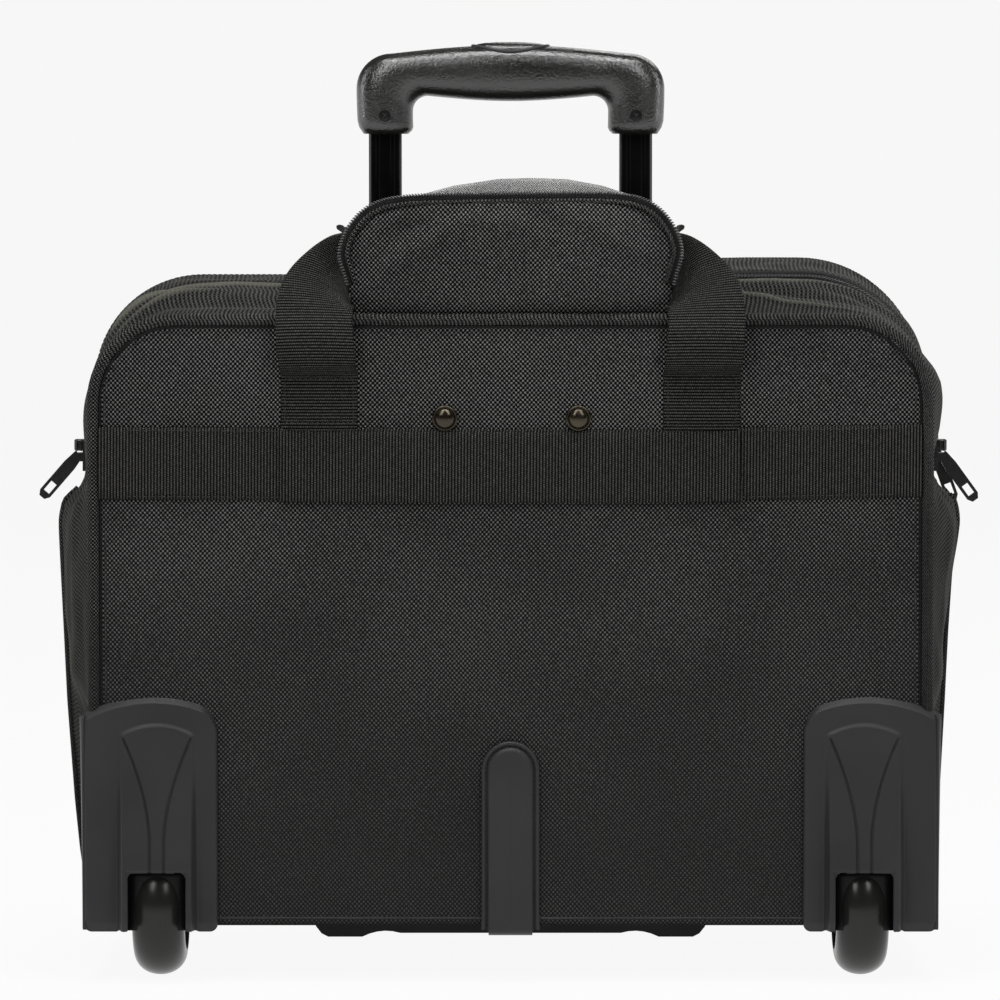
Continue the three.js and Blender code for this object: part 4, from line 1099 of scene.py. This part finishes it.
def build_grip():
    bar_bottom, bottom, top = 439.5, 420.6, 464.8
    outer_r, inner_r, half, leg = 17.5, 7.5, 76.9, 28.2
    crown_rise, bar_sag = 4.2, 2.6
    outer, inner = [], []
    for t in np.linspace(0, 1, 8):
        ease = 1.6 * (1 - t) ** 2
        outer.append((half - ease * 0.6, bottom + (top - 4 - outer_r - bottom) * t))
        inner.append((half - leg - ease * 0.2, bottom + (bar_bottom - inner_r - bottom) * t))
    for a in np.linspace(0, math.pi / 2, 14)[1:]:
        c, s = math.cos(a), math.sin(a)
        outer.append((half - outer_r + outer_r * c, top - crown_rise - outer_r + outer_r * s))
        inner.append((half - leg - inner_r + inner_r * c, bar_bottom - inner_r + inner_r * s))
    ox, ix = outer[-1][0], inner[-1][0]
    for t in np.linspace(0, 1, 16)[1:]:
        rise = math.sin(math.pi / 2 * t)
        outer.append((ox * (1 - t), top - crown_rise + crown_rise * rise))
        inner.append((ix * (1 - t), bar_bottom - bar_sag * rise))
    outer, inner = (np.vstack([edge, np.array(edge[:-1])[::-1] * (-1, 1)]) for edge in (outer, inner))
    sides = 32
    depth = float(node_box("trolley_grip")[1][1] - node_box("trolley_grip")[0][1]) / 2
    grid = []
    ends = len(outer) - 1
    for i, (o, n) in enumerate(zip(outer, inner)):
        near_end = min(i, ends - i)
        inset = {0: 2.6, 1: 0.7}.get(near_end, 0.0)
        ring = []
        for k in range(sides + 1):
            a = 2 * math.pi * k / sides
            c = math.copysign(abs(math.cos(a)) ** GRIP_ROUND, math.cos(a))
            s = math.copysign(abs(math.sin(a)) ** GRIP_ROUND, math.sin(a))
            mid, arm = (o + n) / 2, (o - n) / 2
            length = np.linalg.norm(arm)
            arm = arm * (1 - inset / length)
            p = mid + arm * c
            ring.append((p[0], TUBE_Y + (depth - inset) * s, p[1]))
        grid.append(ring)
    grip = weld(surface("grip_body", np.array(grid), MAT["grip"]))
    close_ends(grip)
    mount(grip, "inner_stage", "grip_plastic", "trolley_grip")
    rear = TUBE_Y - depth
    for name, side in SIDES:
        centre = (side * TUBE_X, rear - 0.1, 429.5)
        dish = [(2.9, 0.4), (2.95, -0.2), (2.75, -0.3), (2.55, -0.1), (0, 0.0)]
        cup = lathe("cup", dish, centre, MAT["recess"], 32, "Y")
        cross = []
        for angle in (35, 125):
            c, s = math.cos(math.radians(angle)), math.sin(math.radians(angle))
            place = (np.array(centre), np.array((c, 0, s)), np.array((-s, 0, c)), np.array((0, -1.0, 0)))
            cross.append(copies("blade", *bead(3.2, 0.7, 0.5), [place], MAT["black_metal"]))
        screw = joined(f"grip_screw_{name}_head", [cup, *cross])
        mount(screw, "inner_stage", "black_metal", f"grip_screw_{name}")

    def crown(x, d):
        """Height of the bar's rounded top at x, d in front of or behind its middle."""
        share = max(0.0, 1 - abs(x) / ox)
        high = top - crown_rise + crown_rise * math.sin(math.pi / 2 * share)
        low = bar_bottom - bar_sag * math.sin(math.pi / 2 * share)
        turn = min(1.0, abs(d) / depth) ** (1 / GRIP_ROUND)
        return (high + low) / 2 + (high - low) / 2 * (1 - turn**2) ** (GRIP_ROUND / 2)

    def oval(long, short, lift):
        """An oval that follows the bar's top, lifted a little off it."""
        turn = np.linspace(0, 2 * math.pi, 73)
        around = [(long * math.cos(a), short * math.sin(a)) for a in turn]
        return [(x, TUBE_Y + d, crown(x, d) + lift) for x, d in around]

    edge = oval(18.9, 10.6, 0.1)[:-1]
    rim = sweep("release_button_rim", edge, circle(0.8, 8), MAT["moulding"], closed=True)
    mount(rim, "inner_stage", "grip_plastic")
    dome = ((0, 1.5), (0.4, 1.45), (0.7, 1.3), (0.88, 0.9), (0.95, 0.3), (0.96, -2.5))
    cap = [oval(18.4 * r, 10.2 * r, lift) for r, lift in dome]
    button = weld(surface("release_button_cap", cap, MAT["grip"], flip=True))
    mount(button, "release", "grip_plastic", "release_button")


def tube_section(width, depth):
    """An extruded tube's section: shallow ribs run along both broad faces, near their edges."""
    points = rounded(width, depth, 3.2, 5)
    out = []
    for i, p in enumerate(points):
        q = points[(i + 1) % len(points)]
        out.append(tuple(p))
        if abs(p[1] - q[1]) < 1e-6 and abs(p[0] - q[0]) > 4:
            way = 1 if q[0] > p[0] else -1
            dip = -0.55 if p[1] > 0 else 0.55
            groove = ((0.3, 0), (0.7, 1), (2.0, 1), (2.4, 0))
            out += [(p[0] + way * d, p[1] + dip * deep) for d, deep in groove]
            out += [(q[0] - way * d, p[1] + dip * deep) for d, deep in groove[::-1]]
    return np.array(out)


def build_tubes():
    for name, side in SIDES:
        for stage, body, width, depth in (
            ("inner", "inner_stage", 16.5, 11.5),
            ("middle", "middle_stage", 20.0, 15.0),
            ("outer", "case", 23.5, 18.5),
        ):
            node = f"{stage}_tube_{name}"
            low, high = node_box(node)
            path = [(side * TUBE_X, TUBE_Y, z) for z in np.linspace(low[2], high[2], 12)]
            tube = sweep(f"{node}_profile", path, tube_section(width, depth), MAT["tube"], out=(1, 0, 0))
            bevelled(tube, 0.25, 2, 40)
            mount(tube, body, "black_tube", node)


# ---- Wheels ----
def build_wheels():
    for name, side in SIDES:
        centre = (side * WHEEL_X, AXLE_Y, WHEEL_R)
        body = f"wheel_{name}"
        profile = [(22.0, -10.6)]
        for a in np.linspace(-90, 90, 30):
            r = math.radians(a)
            profile.append((22.6 + 12.4 * math.cos(r) ** 0.85, 13.1 * math.sin(r)))
        profile += [(22.0, 10.6), (21.9, 0), (22.0, -10.6)]
        tyre = lathe(f"tyre_{name}_round", profile, centre, MAT["tyre"], 128)
        mount(tyre, body, "tyre", f"tyre_{name}")
        face = [(11.2, -8.6), (13, -9.2), (15, -8.4), (16.5, -6.2), (20, -6.4), (21.2, -9.4), (21.8, -9.6)]
        hub = [*face, *[(r, -along) for r, along in face[::-1]], face[0]]
        disc = lathe("disc", hub, centre, MAT["hub"], 72)
        ribs = []
        for k in range(8):
            a = 2 * math.pi * k / 8
            radial = np.array((0, math.cos(a), math.sin(a)))
            turn = np.array((0, -math.sin(a), math.cos(a)))
            for way in (-1, 1):
                at = np.array(centre) + radial * 17.6 + np.array((way * 7.4, 0, 0))
                ribs.append((at, radial, turn, np.array((1.0, 0, 0))))
        spokes = copies("spokes", *bead(6.4, 1.6, 3.2), ribs, MAT["hub"])
        mount(joined(f"wheel_hub_{name}_spoked", [disc, spokes]), body, "moulding", f"wheel_hub_{name}")
        for node in (f"bearing_{name}_inner", f"bearing_{name}_outer"):
            low, high = node_box(node)
            a, b = low[0] - centre[0], high[0] - centre[0]
            ring = [(3.05, a), (5, a), (5.3, a + 0.5), (8.6, a + 0.5), (9, a), (11, a)]
            ring += [(11, b), (9, b), (8.6, b - 0.5), (5.3, b - 0.5), (5, b), (3.05, b), (3.05, a)]
            mount(lathe(f"{node}_race", ring, centre, MAT["steel"], 48), body, "steel", node)
        head = [(0, -22.6), (3.6, -22.6), (4.8, -22.0), (5, -20.9), (3, -20.8)]
        pin = [*head, *[(r, -along) for r, along in head[::-1]]]
        mount(lathe(f"axle_{name}_pin", pin, centre, MAT["steel"], 40), "case", "steel", f"axle_{name}")


HOUSING_OUT, HOUSING_IN = 211.8, 145.3
HOUSING_MID = (HOUSING_OUT + HOUSING_IN) / 2
HOUSING_HALF = (HOUSING_OUT - HOUSING_IN) / 2
HOUSING_LOW = 25.0
SLOT_HALF, SLOT_TOP, SLOT_R = 14.5, 55.5, 3.2


def housing_top(u):
    """Height of the plate's arched top edge; u runs from -1 at the inner edge to 1 at the outer."""
    return 142.5 - 7.5 * abs(u) ** 2.2 - 1.5 * max(0, u)


def smooth(value, low, high):
    """0 below low, 1 above high, and an even ease between them."""
    t = clipped((value - low) / (high - low))
    return t * t * (3 - 2 * t)


def housing_depth(x, z):
    """How far the plate, its raised pod and its grooves stand out, x from the wheel's middle at height z."""
    pod_half = 19.8
    pod_top = 129.8 - 5.0 * (x / 18) ** 2
    swell = 1.2 + 9.0 * smooth(120 - z, 0, 82)
    pod = smooth(pod_half - abs(x), -0.3, 3.0) * smooth(pod_top - z, 0.0, 3.0)
    depth = 4.4 + pod * swell
    groove_low, groove_top = 50, 122.5
    groove = 3.5 + 13.5 * max(0.0, (z - 70) / 52) ** 1.75
    if groove_low < z < groove_top:
        for edge in (-groove, groove):
            depth -= 1.5 * math.exp(-(((x - edge) / 0.5) ** 2)) * smooth(groove_top - z, 0, 1.0)
    return depth


def housing_point(side, u, v):
    """A place on the plate: u from -1 at its inner edge to 1 at its outer, v from 0 to 1 upwards."""
    corner = 9.0
    x = HOUSING_MID + HOUSING_HALF * u
    top = housing_top(u)
    near = HOUSING_HALF * (1 + u)
    if near < corner:
        top -= corner - math.sqrt(max(0, corner**2 - (corner - near) ** 2))
    low = HOUSING_LOW + 1.3 * smooth(20.6 - abs(x - WHEEL_X), 0, 2.4)
    reach = HOUSING_HALF * (1 - abs(u))
    if reach < 4:
        low += 4 - math.sqrt(max(0, 16 - (4 - reach) ** 2))
    z = low + (top - low) * v
    local = x - WHEEL_X
    roll = 1.4 * (1 - min(1.0, reach / 1.2)) + 4.2 * max(0.0, 1 - (top - z) / 3.4)
    mouth = max(abs(local) - SLOT_HALF, z - SLOT_TOP)
    roll += 0.7 * (1 - smooth(mouth, 0, 1.4)) if mouth > -0.5 else 0.0
    foot = 1.5 * (1 - smooth(z, low, low + 5))
    return side * x, BACK - housing_depth(local, z) + roll + foot, z


def in_slot(local, z):
    """Whether the wheel's slot is open at local from the wheel's middle and height z."""
    if local >= SLOT_HALF or z >= SLOT_TOP:
        return False
    across, up = local - (SLOT_HALF - SLOT_R), z - (SLOT_TOP - SLOT_R)
    return not (across > 0 and up > 0) or math.hypot(across, up) < SLOT_R


def housing_plate(side):
    """The plate as a fine height field with the wheel slot cut out, and walls that run back to the case."""
    us = np.linspace(-1, 1, int(2 * HOUSING_HALF / 0.5) + 1)
    slot_edges = (np.array([-SLOT_HALF, SLOT_HALF]) + WHEEL_X - HOUSING_MID) / HOUSING_HALF
    us = np.unique(np.round(np.concatenate([us, slot_edges]), 6))
    vs = np.linspace(0, 1, 236)
    grid = np.zeros((len(vs), len(us), 3))
    keep = np.ones((len(vs) - 1, len(us) - 1), bool)
    for i, v in enumerate(vs):
        for j, u in enumerate(us):
            grid[i, j] = housing_point(side, u, v)
    mid_x = (grid[0, 1:, 0] + grid[0, :-1, 0]) / 2
    for i in range(len(vs) - 1):
        for j in range(len(us) - 1):
            keep[i, j] = not in_slot(abs(abs(mid_x[j]) - WHEEL_X), grid[i : i + 2, j, 2].mean())
    faces = grid_faces(len(vs), len(us), flip=side > 0).reshape(len(vs) - 1, len(us) - 1, 4)
    plate = make("plate", grid.reshape(-1, 3), faces[keep], MAT["housing"])
    with editing(plate) as work:
        bmesh.ops.delete(work, geom=[v for v in work.verts if not v.link_faces], context="VERTS")
        rim = [e for e in work.edges if e.is_boundary]
        made = bmesh.ops.extrude_edge_only(work, edges=rim)["geom"]
        for v in (part for part in made if isinstance(part, bmesh.types.BMVert)):
            v.co.y = wall_end(abs(abs(v.co.x) / MM - WHEEL_X), v.co.z / MM) * MM
        bmesh.ops.recalc_face_normals(work, faces=work.faces)
    return plate


def wall_end(local, z):
    """How far back a wall runs: deep round the wheel slot and under the case, else only to the back panel."""
    if local < SLOT_HALF + 0.6 and z < SLOT_TOP + 0.6:
        return AXLE_Y + 40
    return BACK + 62 if z < 32 and local < 26 else BACK + 1.5


def housing_wing(side):
    """The wrap of the housing round the side of the case, deepest at its foot."""
    grid = []
    for z in np.linspace(HOUSING_LOW + 1, 133, 50):
        reach = 1.5 + 38 * (1 - smooth(z, 30, 132)) ** 0.8
        row = []
        for t in np.linspace(0, 1, 18):
            y = BACK - 3.2 + (reach + 3.2) * t
            out = HOUSING_OUT - 1.3 + 1.0 * math.sin(math.pi / 2 * min(1, t * 3)) + 0.6 * t
            thin = 1.2 * smooth(t, 0.85, 1.0)
            row.append((side * (out - thin), y, z))
        grid.append(row)
    return surface("wing", grid, MAT["housing"], flip=side > 0, thickness=1.8)


def wheel_arch(side):
    """The dark lining round the wheel: an arch over it and a cheek on each side."""
    arch = []
    for a in np.linspace(-20, 200, 34):
        r = math.radians(a)
        y, z = AXLE_Y + 38.6 * math.cos(r), WHEEL_R + 38.6 * math.sin(r)
        z = min(z, SLOT_TOP + 18)
        if y < BACK + 2:
            y, z = max(y, BACK - 6), min(z, SLOT_TOP)
        across = np.linspace(-SLOT_HALF - 0.3, SLOT_HALF + 0.3, 6)
        arch.append([(side * WHEEL_X + x, y, max(z, HOUSING_LOW + 1)) for x in across])
    parts = [surface("cup", arch, MAT["stand"], flip=True, thickness=1.0)]
    depths = np.linspace(BACK - 8, AXLE_Y + 40, 10)
    for way in (-1, 1):
        x = side * WHEEL_X + way * (SLOT_HALF + 1.4)
        rows = [[(x, y, z) for y in depths] for z in np.linspace(HOUSING_LOW + 0.5, 74, 10)]
        parts.append(surface("cheek", rows, MAT["stand"], thickness=0.8))
    return parts


def build_housings():
    for name, side in SIDES:
        node = f"wheel_housing_{name}"
        parts = [housing_plate(side), housing_wing(side), *wheel_arch(side)]
        mount(joined(f"{node}_shell", parts), "case", "housing_plastic", node)


# ---- Skid strip and stand ----
def stadium(half, low, top, count):
    """Up one side, round the top and down the other."""
    points = [(-half, z) for z in np.linspace(low, top - half, 24)]
    turn = np.linspace(0, math.pi, 30)[1:-1]
    points += [(-half * math.cos(a), top - half + half * math.sin(a)) for a in turn]
    points += [(half, z) for z in np.linspace(top - half, low, 24)]
    return resample(points, count)


def build_skid():
    base = BACK - 1.4
    # Rings of the strip from its edge to its middle, past the sewn channel: half width, and distance out
    edge = ((14.3, 0.0), (14.4, -1.6), (13.6, -2.5), (12.6, -2.2), (12.1, -1.2), (11.6, -1.2))
    middle = ((11.3, -2.2), (10.6, -3.2), (9.4, -3.6), (6.0, -3.8), (2.0, -3.9), (0.02, -3.9))
    grid = []
    for half, out in edge + middle:
        grid.append(at_depth(stadium(half, BOTTOM - 2, 120 - (14.4 - half), 90), base + out))
    strip = surface("strip", grid, MAT["moulding"])
    across = np.linspace(-10.9, 10.9, 20)
    foot = []
    for r in np.linspace(0, math.pi / 2, 8):
        foot.append([(x, base + 3.8 - 7.7 * math.cos(r), BOTTOM - 2 - 3.4 * math.sin(r)) for x in across])
    foot += [[(x, base + 3.8 + y, BOTTOM - 5.4) for x in across] for y in np.linspace(2, 42, 16)]
    tongue = surface("tongue", foot, MAT["moulding"], flip=True, thickness=1.6)
    path = at_depth(stadium(11.85, BOTTOM - 1, 117.5, 140), base - 1.3)
    sewn = stitches("sewn", path, (0, -1, 0), 2.2, 1.6, 0.6)
    mount(joined("skid_strip_moulding", [strip, tongue, sewn]), "case", "moulding", "skid_strip")


# ---- Tray round the trolley tubes ----
def top_height(x, y):
    """Height of the top of the case at (x, y)."""
    line = outline(y, 300, 250)
    return float(np.interp(x, line[:, 0][60:240], line[:, 1][60:240]))


def build_well():
    rim = well_line(0)
    heights = np.array([top_height(x, y) for x, y in rim])
    grid = []
    wall_section = ((0.0, -0.4), (0.04, 0.4), (0.3, 0.9), (0.7, 1.4), (0.93, 1.8), (1.0, 3.0), (1.0, 5.5))
    for share, inset in wall_section:
        line = well_line(max(inset, 0.0))
        z = heights + (WELL_FLOOR - heights) * share + (0.5 if inset < 0 else 0)
        grid.append(np.stack([line[:, 0], line[:, 1], z], -1))
    grid = wrinkle(np.array(grid), 0.8, 16, 4.0)
    wall = surface("wall", grid, MAT["lining"], flip=True, thickness=1.0)
    floor = []
    for y in np.linspace(WELL_Y0 + 1.5, WELL_Y1 - 1.5, 14):
        floor.append([(x, y, WELL_FLOOR - 0.3) for x in np.linspace(-WELL_HALF + 1.5, WELL_HALF - 1.5, 50)])
    base = surface("base", floor, MAT["lining"])
    line = np.stack([rim[:, 0], rim[:, 1], heights + 0.9], -1)
    middle = np.array((0, (WELL_Y0 + WELL_Y1) / 2, 0))
    inward = unit((middle - line) * (0.35, 1, 0))
    bind = sweep("bind", line - inward * 1.5, rounded(5.0, 1.2, 0.5, 2), MAT["tape"], out=inward)
    up = np.broadcast_to((0.0, 0.0, 1.0), line.shape)
    coil = zip_chain("coil", line + inward * 0.8, inward, up, rows=(0,))
    mount(joined("handle_well_tray", [wall, base, bind, coil]), "case", "lining", "handle_well")


# ---- Front of the case ----
CUT_FROM, CUT_TO = (ZIP_FRONT, ZIP_END), (FOLD_Y, FOLD_Z)


def cut_at_fold(piece, above):
    """Keeps what lies above or below the plane where the front section tips away from the case."""
    gap = 0.5
    along = Vector((0, CUT_TO[0] - CUT_FROM[0], CUT_TO[1] - CUT_FROM[1])).normalized()
    up = Vector((0, -along.z, along.y))
    centre = Vector((0, CUT_TO[0] * MM, CUT_TO[1] * MM)) + up * (gap * MM if above else -gap * MM)
    keep = {"clear_inner": above, "clear_outer": not above}
    with editing(piece) as work:
        geometry = [*work.verts, *work.edges, *work.faces]
        bmesh.ops.bisect_plane(work, geom=geometry, plane_co=centre, plane_no=up, **keep)
    return piece


def front_face(x, z):
    """The padded front panel, full in the middle."""
    edge = clipped((205 - abs(x)) / 18) * clipped((332 - z) / 18)
    dent = 0.9 * soft_noise(x / 60, z / 60, 12.3) + 0.3 * soft_noise(x / 22, z / 22, 8.8)
    return FRONT - 2.2 + 2.0 * edge * (2 - edge) + dent * edge * 0.5


def build_front_panel():
    rows, columns = 110, 150
    half, top, corner = 203.5, 330.5, 46.5
    grid = []
    for z in np.linspace(top, BOTTOM, rows):
        w = arched_half(half, top, corner, z)
        grid.append([(x, front_face(x, z), z) for x in np.linspace(-w, w, columns)])
    grid = np.array(grid)
    gusset, _ = fold_gusset(arch_grid(ZIP_FRONT + ZIP_HALF, FRONT - 2.5, 50, before=True), 9.0)
    cord_path = at_depth(outline(FRONT - 1.5, 400, BOTTOM, -1.5), FRONT - 1.4)
    seam_line = outline(FRONT - 1.5, 400, BOTTOM, -5.6)
    seam_path = np.array([(x, front_face(x, z), z) for x, z in seam_line])
    fabrics = [MAT["panel"], MAT["inside"]]
    shells = ((True, "front_section", "front_shell_upper"), (False, "case", "front_shell_lower"))
    for above, body, node in shells:
        panel = cut_at_fold(surface("panel", grid, fabrics, front_uv(grid), thickness=2.4), above)
        side = cut_at_fold(surface("side", gusset, [MAT["gusset"], MAT["inside"]], thickness=1.6), above)
        cord = cut_at_fold(sweep("cord", cord_path, circle(2.3, 12), MAT["piping"], out=(0, 1, 0)), above)
        seam = cut_at_fold(stitches("seam", seam_path, (0, 1, 0), 2.6, 2.0, 0.5), above)
        mount(joined(f"{node}_fabric", [panel, side, cord, seam]), body, "nylon", node)


def build_pocket():
    low, high = node_box("front_pocket")
    width, height = high[0] - low[0] - 3, high[2] - low[2] - 2
    middle = (low[2] + high[2]) / 2
    walls = ((0.3, 0.0), (5, -0.6), (10, -0.4), (14.5, 0.6), (16.8, 2.6))
    face = ((17.5, 5.0), (18.2, 10), (18.6, 22), (19.0, 40), (19.1, 54), (19.1, height / 2 - 0.05))
    grid = []
    for out, inset in walls + face:
        corner = min(max(3.0, 15 - inset * 0.8), height / 2 - inset - 0.02)
        line = ring_of(rounded(width - 2 * inset, height - 2 * inset, corner, 10), 260)
        high_up = np.clip(line[:, 1] / height + 0.5, 0, 1)
        line[:, 1] += middle - 2.0 * high_up * np.cos(line[:, 0] / width * math.pi) ** 2 * out / 19
        grid.append(at_depth(line, low[1] + out))
    outward = np.array((0.0, 1.0, 0.0))
    grid = wrinkle(grid, 2.0, 38, 21.0, outward)
    grid = wrinkle(grid, 0.8, 13, 33.0, outward)
    grid[..., 1] = np.clip(grid[..., 1], low[1] + 0.2, high[1] + 2.5)
    uv = front_uv(grid)
    uv[: len(walls), :, 1] += grid[: len(walls), :, 1]
    shell = surface("shell", grid, [MAT["panel"], MAT["inside"]], uv, flip=True, thickness=1.5)
    line = ring_of(rounded(width - 7, height - 7, 12, 10), 260)
    path = at_depth(line, low[1] + 17.2) + (0, 0, middle - 1.0)
    cord = sweep("cord", path, circle(1.7, 10), MAT["piping"], out=(0, 1, 0))
    mount(joined("front_pocket_fabric", [shell, cord]), "front_section", "nylon", "front_pocket")

    low, high = node_box("pocket_zip")
    mid, y = (low[2] + high[2]) / 2, high[1]
    xs = np.linspace(low[0], high[0], 160)
    path = np.stack([xs, np.full(160, y - 0.4), np.full(160, mid)], -1)
    tape = sweep("tape", path - (0, 0.6, 0), rounded(high[2] - low[2] + 3, 1.0, 0.4, 2), MAT["tape"])
    up = np.broadcast_to((0.0, 0.0, 1.0), path.shape)
    coil = zip_chain("coil", path, up, np.broadcast_to(outward, path.shape))
    seams = [stitches("seam", path + (0, 0.1, d), (0, 1, 0), 2.6, 1.9, 0.45) for d in (-4.6, 4.6)]
    mount(joined("pocket_zip_chain", [tape, coil, *seams]), "front_section", "zip_tape", "pocket_zip")


# ---- Inside the case ----
def padded_board(name, node, material, seed):
    """A padded, bound board that fills its frame node."""
    puff = 1.6
    low, high = node_box(node)
    mid, depth = (low[1] + high[1]) / 2, (high[1] - low[1]) / 2
    width, height = high[0] - low[0], high[2] - low[2]
    centre = (low[2] + high[2]) / 2
    parts = []
    for way in (-1, 1):
        grid = []
        for v in np.linspace(-1, 1, 50):
            row = []
            for u in np.linspace(-1, 1, 70):
                edge = min(1.0, (1 - abs(u)) * 9) * min(1.0, (1 - abs(v)) * 7)
                quilt = abs(math.sin(u * math.pi * 3)) ** 0.3 * abs(math.sin((v + 1) * math.pi * 2)) ** 0.3
                out = depth - puff + puff * edge**0.5 * (0.55 + 0.45 * quilt)
                out += 0.4 * soft_noise(u * 4, v * 3, seed)
                r = 1 - 0.02 * max(0, abs(v) - 0.9) * 10
                row.append((u * width / 2 * r, mid + way * out, centre + v * height / 2))
            grid.append(row)
        parts.append(surface("face", grid, material, flip=way < 0))
    path = at_depth(ring_of(rounded(width - 2, height - 2, 8, 6), 240), mid) + (0, 0, centre)
    parts.append(sweep("binding", path, rounded(2 * depth - 0.4, 5, 1.2, 3), MAT["tape"], out=(0, 1, 0)))
    return joined(name, parts)


def build_inside():
    divider = padded_board("laptop_divider_padded", "laptop_divider", MAT["inside"], 2.0)
    mount(divider, "case", "lining", "laptop_divider")
    low, high = node_box("handle_cover")
    grid = []
    for z in np.linspace(low[2], high[2], 60):
        row = []
        for x in np.linspace(low[0], high[0], 110):
            wheel = smooth(abs(x), 132, 142) * smooth(90 - z, 0, 8)
            y = high[1] + 0.6 * soft_noise(x / 30, z / 30, 4.4) - 0.4
            row.append((x, y + 1.5 * wheel, z))
        grid.append(row)
    cover = surface("handle_cover_cloth", grid, MAT["inside"], flip=True, thickness=1.6)
    with editing(cover) as work:
        middles = [(face, face.calc_center_median()) for face in work.faces]
        by_wheels = [face for face, at in middles if abs(at.x) > 0.147 and at.z < 0.079]
        bmesh.ops.delete(work, geom=by_wheels, context="FACES")
    mount(cover, "case", "lining", "handle_cover")
    restyle("bottom_board", MAT["stand"], 0.6)
    restyle("front_stand", MAT["stand"], 1.6)
    for node in ("handle_bezel", "tube_foot_bracket"):
        restyle(node, MAT["moulding"], 0.6)
    for name, _ in SIDES:
        restyle(f"release_rod_{name}", MAT["steel"], 0.2)


def restyle(node, material, bevel):
    """Gives a frame node its finish and softened edges."""
    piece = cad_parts[node]
    piece.data.materials.clear()
    piece.data.materials.append(material)
    bevelled(piece, bevel, 3)
    piece.data.polygons.foreach_set("use_smooth", [True] * len(piece.data.polygons))


def build_sliders():
    """The sliders and tabs are the frame's own shapes, with a ribbed bridge added on each side slider."""
    for zipper in ("rear_zip_left", "rear_zip_right", "front_zip", "pocket_zip"):
        restyle(f"{zipper}_slider", MAT["black_metal"], 0.5)
        restyle(f"{zipper}_pull", MAT["black_metal"], 0.5)
    for zipper, way in (("rear_zip_left", -1), ("rear_zip_right", 1), ("front_zip", 1)):
        low, high = node_box(f"{zipper}_slider")
        middle = (low + high) / 2
        path = [(middle[0] - way * 0.2, middle[1], middle[2] + z) for z in np.linspace(3.2, 9.0, 6)]
        bridge = sweep("bridge", path, rounded(7.4, 6.6, 1.6), MAT["black_metal"], out=(1, 0, 0))
        ribs = []
        for across in (-2.3, 0.0, 2.3):
            for face in (-1, 1):
                at = (middle[0] - way * 0.2 + across, middle[1] + face * 3.4, middle[2] + 6.0)
                ribs.append((at, np.array((0, 0, 1.0)), np.array((1.0, 0, 0)), np.array((0, face * 1.0, 0))))
        parts = [bevelled(bridge, 0.8, 3), copies("ribs", *bead(6.0, 1.1, 1.2), ribs, MAT["hub"])]
        mount(joined(f"{zipper}_slider_bridge", parts), f"{zipper}_slider", "black_metal")


# ---- Camera, light and floor ----
def aimed(piece, at, aim):
    piece.location = at
    piece.rotation_euler = (Vector(aim) - Vector(at)).to_track_quat("-Z", "Y").to_euler()


def build_stage():
    floor = bpy.data.meshes.new("floor")
    floor.from_pydata([(-40, -3.3, 0), (40, -3.3, 0), (40, 40, 0), (-40, 40, 0)], [], [(0, 1, 2, 3)])
    plane = new_object("floor", floor)
    plane.location.z = -0.0002
    n = Nodes("pale_floor", grey(0.05), 0.9, Specular_IOR_Level=0.0)
    n.set(n.shader, "Emission Color", (1, 1, 1, 1))
    n.set(n.shader, "Emission Strength", 0.925)
    floor.materials.append(n.material)

    world = bpy.data.worlds.new("studio")
    bpy.context.scene.world = world
    world.use_nodes = True
    tree = world.node_tree
    way = tree.nodes.new("ShaderNodeSeparateXYZ")
    tree.links.new(tree.nodes.new("ShaderNodeTexCoord").outputs["Generated"], way.inputs[0])

    def fade(socket, low, high, to_low, to_high):
        node = tree.nodes.new("ShaderNodeMapRange")
        node.interpolation_type = "SMOOTHSTEP"
        for index, value in ((1, low), (2, high), (3, to_low), (4, to_high)):
            node.inputs[index].default_value = value
        tree.links.new(way.outputs[socket], node.inputs[0])
        return node.outputs[0]

    pale = tree.nodes.new("ShaderNodeMath")
    pale.operation = "MULTIPLY"
    tree.links.new(fade("Z", 0.06, 0.2, 0.93, 0.07), pale.inputs[0])
    tree.links.new(fade("Y", -0.5, -0.2, 0.07, 1.0), pale.inputs[1])
    background = tree.nodes["Background"]
    background.inputs["Color"].default_value = (1, 1, 1, 1)
    tree.links.new(pale.outputs[0], background.inputs["Strength"])

    def lamp(name, at, aim, size, power):
        light = bpy.data.lights.new(name, "AREA")
        light.shape = "RECTANGLE"
        light.size, light.size_y = size
        light.energy = power
        aimed(new_object(name, light), at, aim)

    lamp("key", (-0.6, -1.15, 1.45), (0, 0, 0.25), (0.4, 1.3), 11)
    lamp("fill", (0.6, -1.15, 1.45), (0, 0, 0.25), (0.4, 1.3), 9.5)
    lamp("top", (0, -0.32, 2.1), (0, -0.05, 0.3), (1.6, 0.42), 23)
    lamp("left_strip", (-2.0, 0.1, 1.0), (0, 0, 0.25), (0.4, 1.6), 9)
    lamp("right_strip", (2.0, 0.1, 1.0), (0, 0, 0.25), (0.4, 1.6), 9)
    lamp("rear", (0.8, 2.4, 1.9), (0, 0, 0.25), (1.6, 0.9), 15)

    camera = bpy.data.cameras.new("camera")
    camera.lens = 190
    camera.sensor_width = 36
    camera.shift_x = -0.0105
    piece = new_object("camera", camera)
    distance, height, aim_height = 2.606, 0.40, 0.2396
    aimed(piece, (0, BACK * MM - distance, height), (0, BACK * MM, aim_height))
    bpy.context.scene.camera = piece
    bpy.context.scene.view_settings.view_transform = "Standard"


build_stage()
build_back_panel()
build_band()
build_studs()
build_gussets()
build_zip("zip_rear", ZIP_REAR, "zip_rear")
build_zip("zip_front", ZIP_FRONT, "zip_front")
build_flap()
build_handles()
build_grip()
build_tubes()
build_wheels()
build_housings()
build_skid()
build_well()
build_front_panel()
build_pocket()
build_inside()
build_sliders()
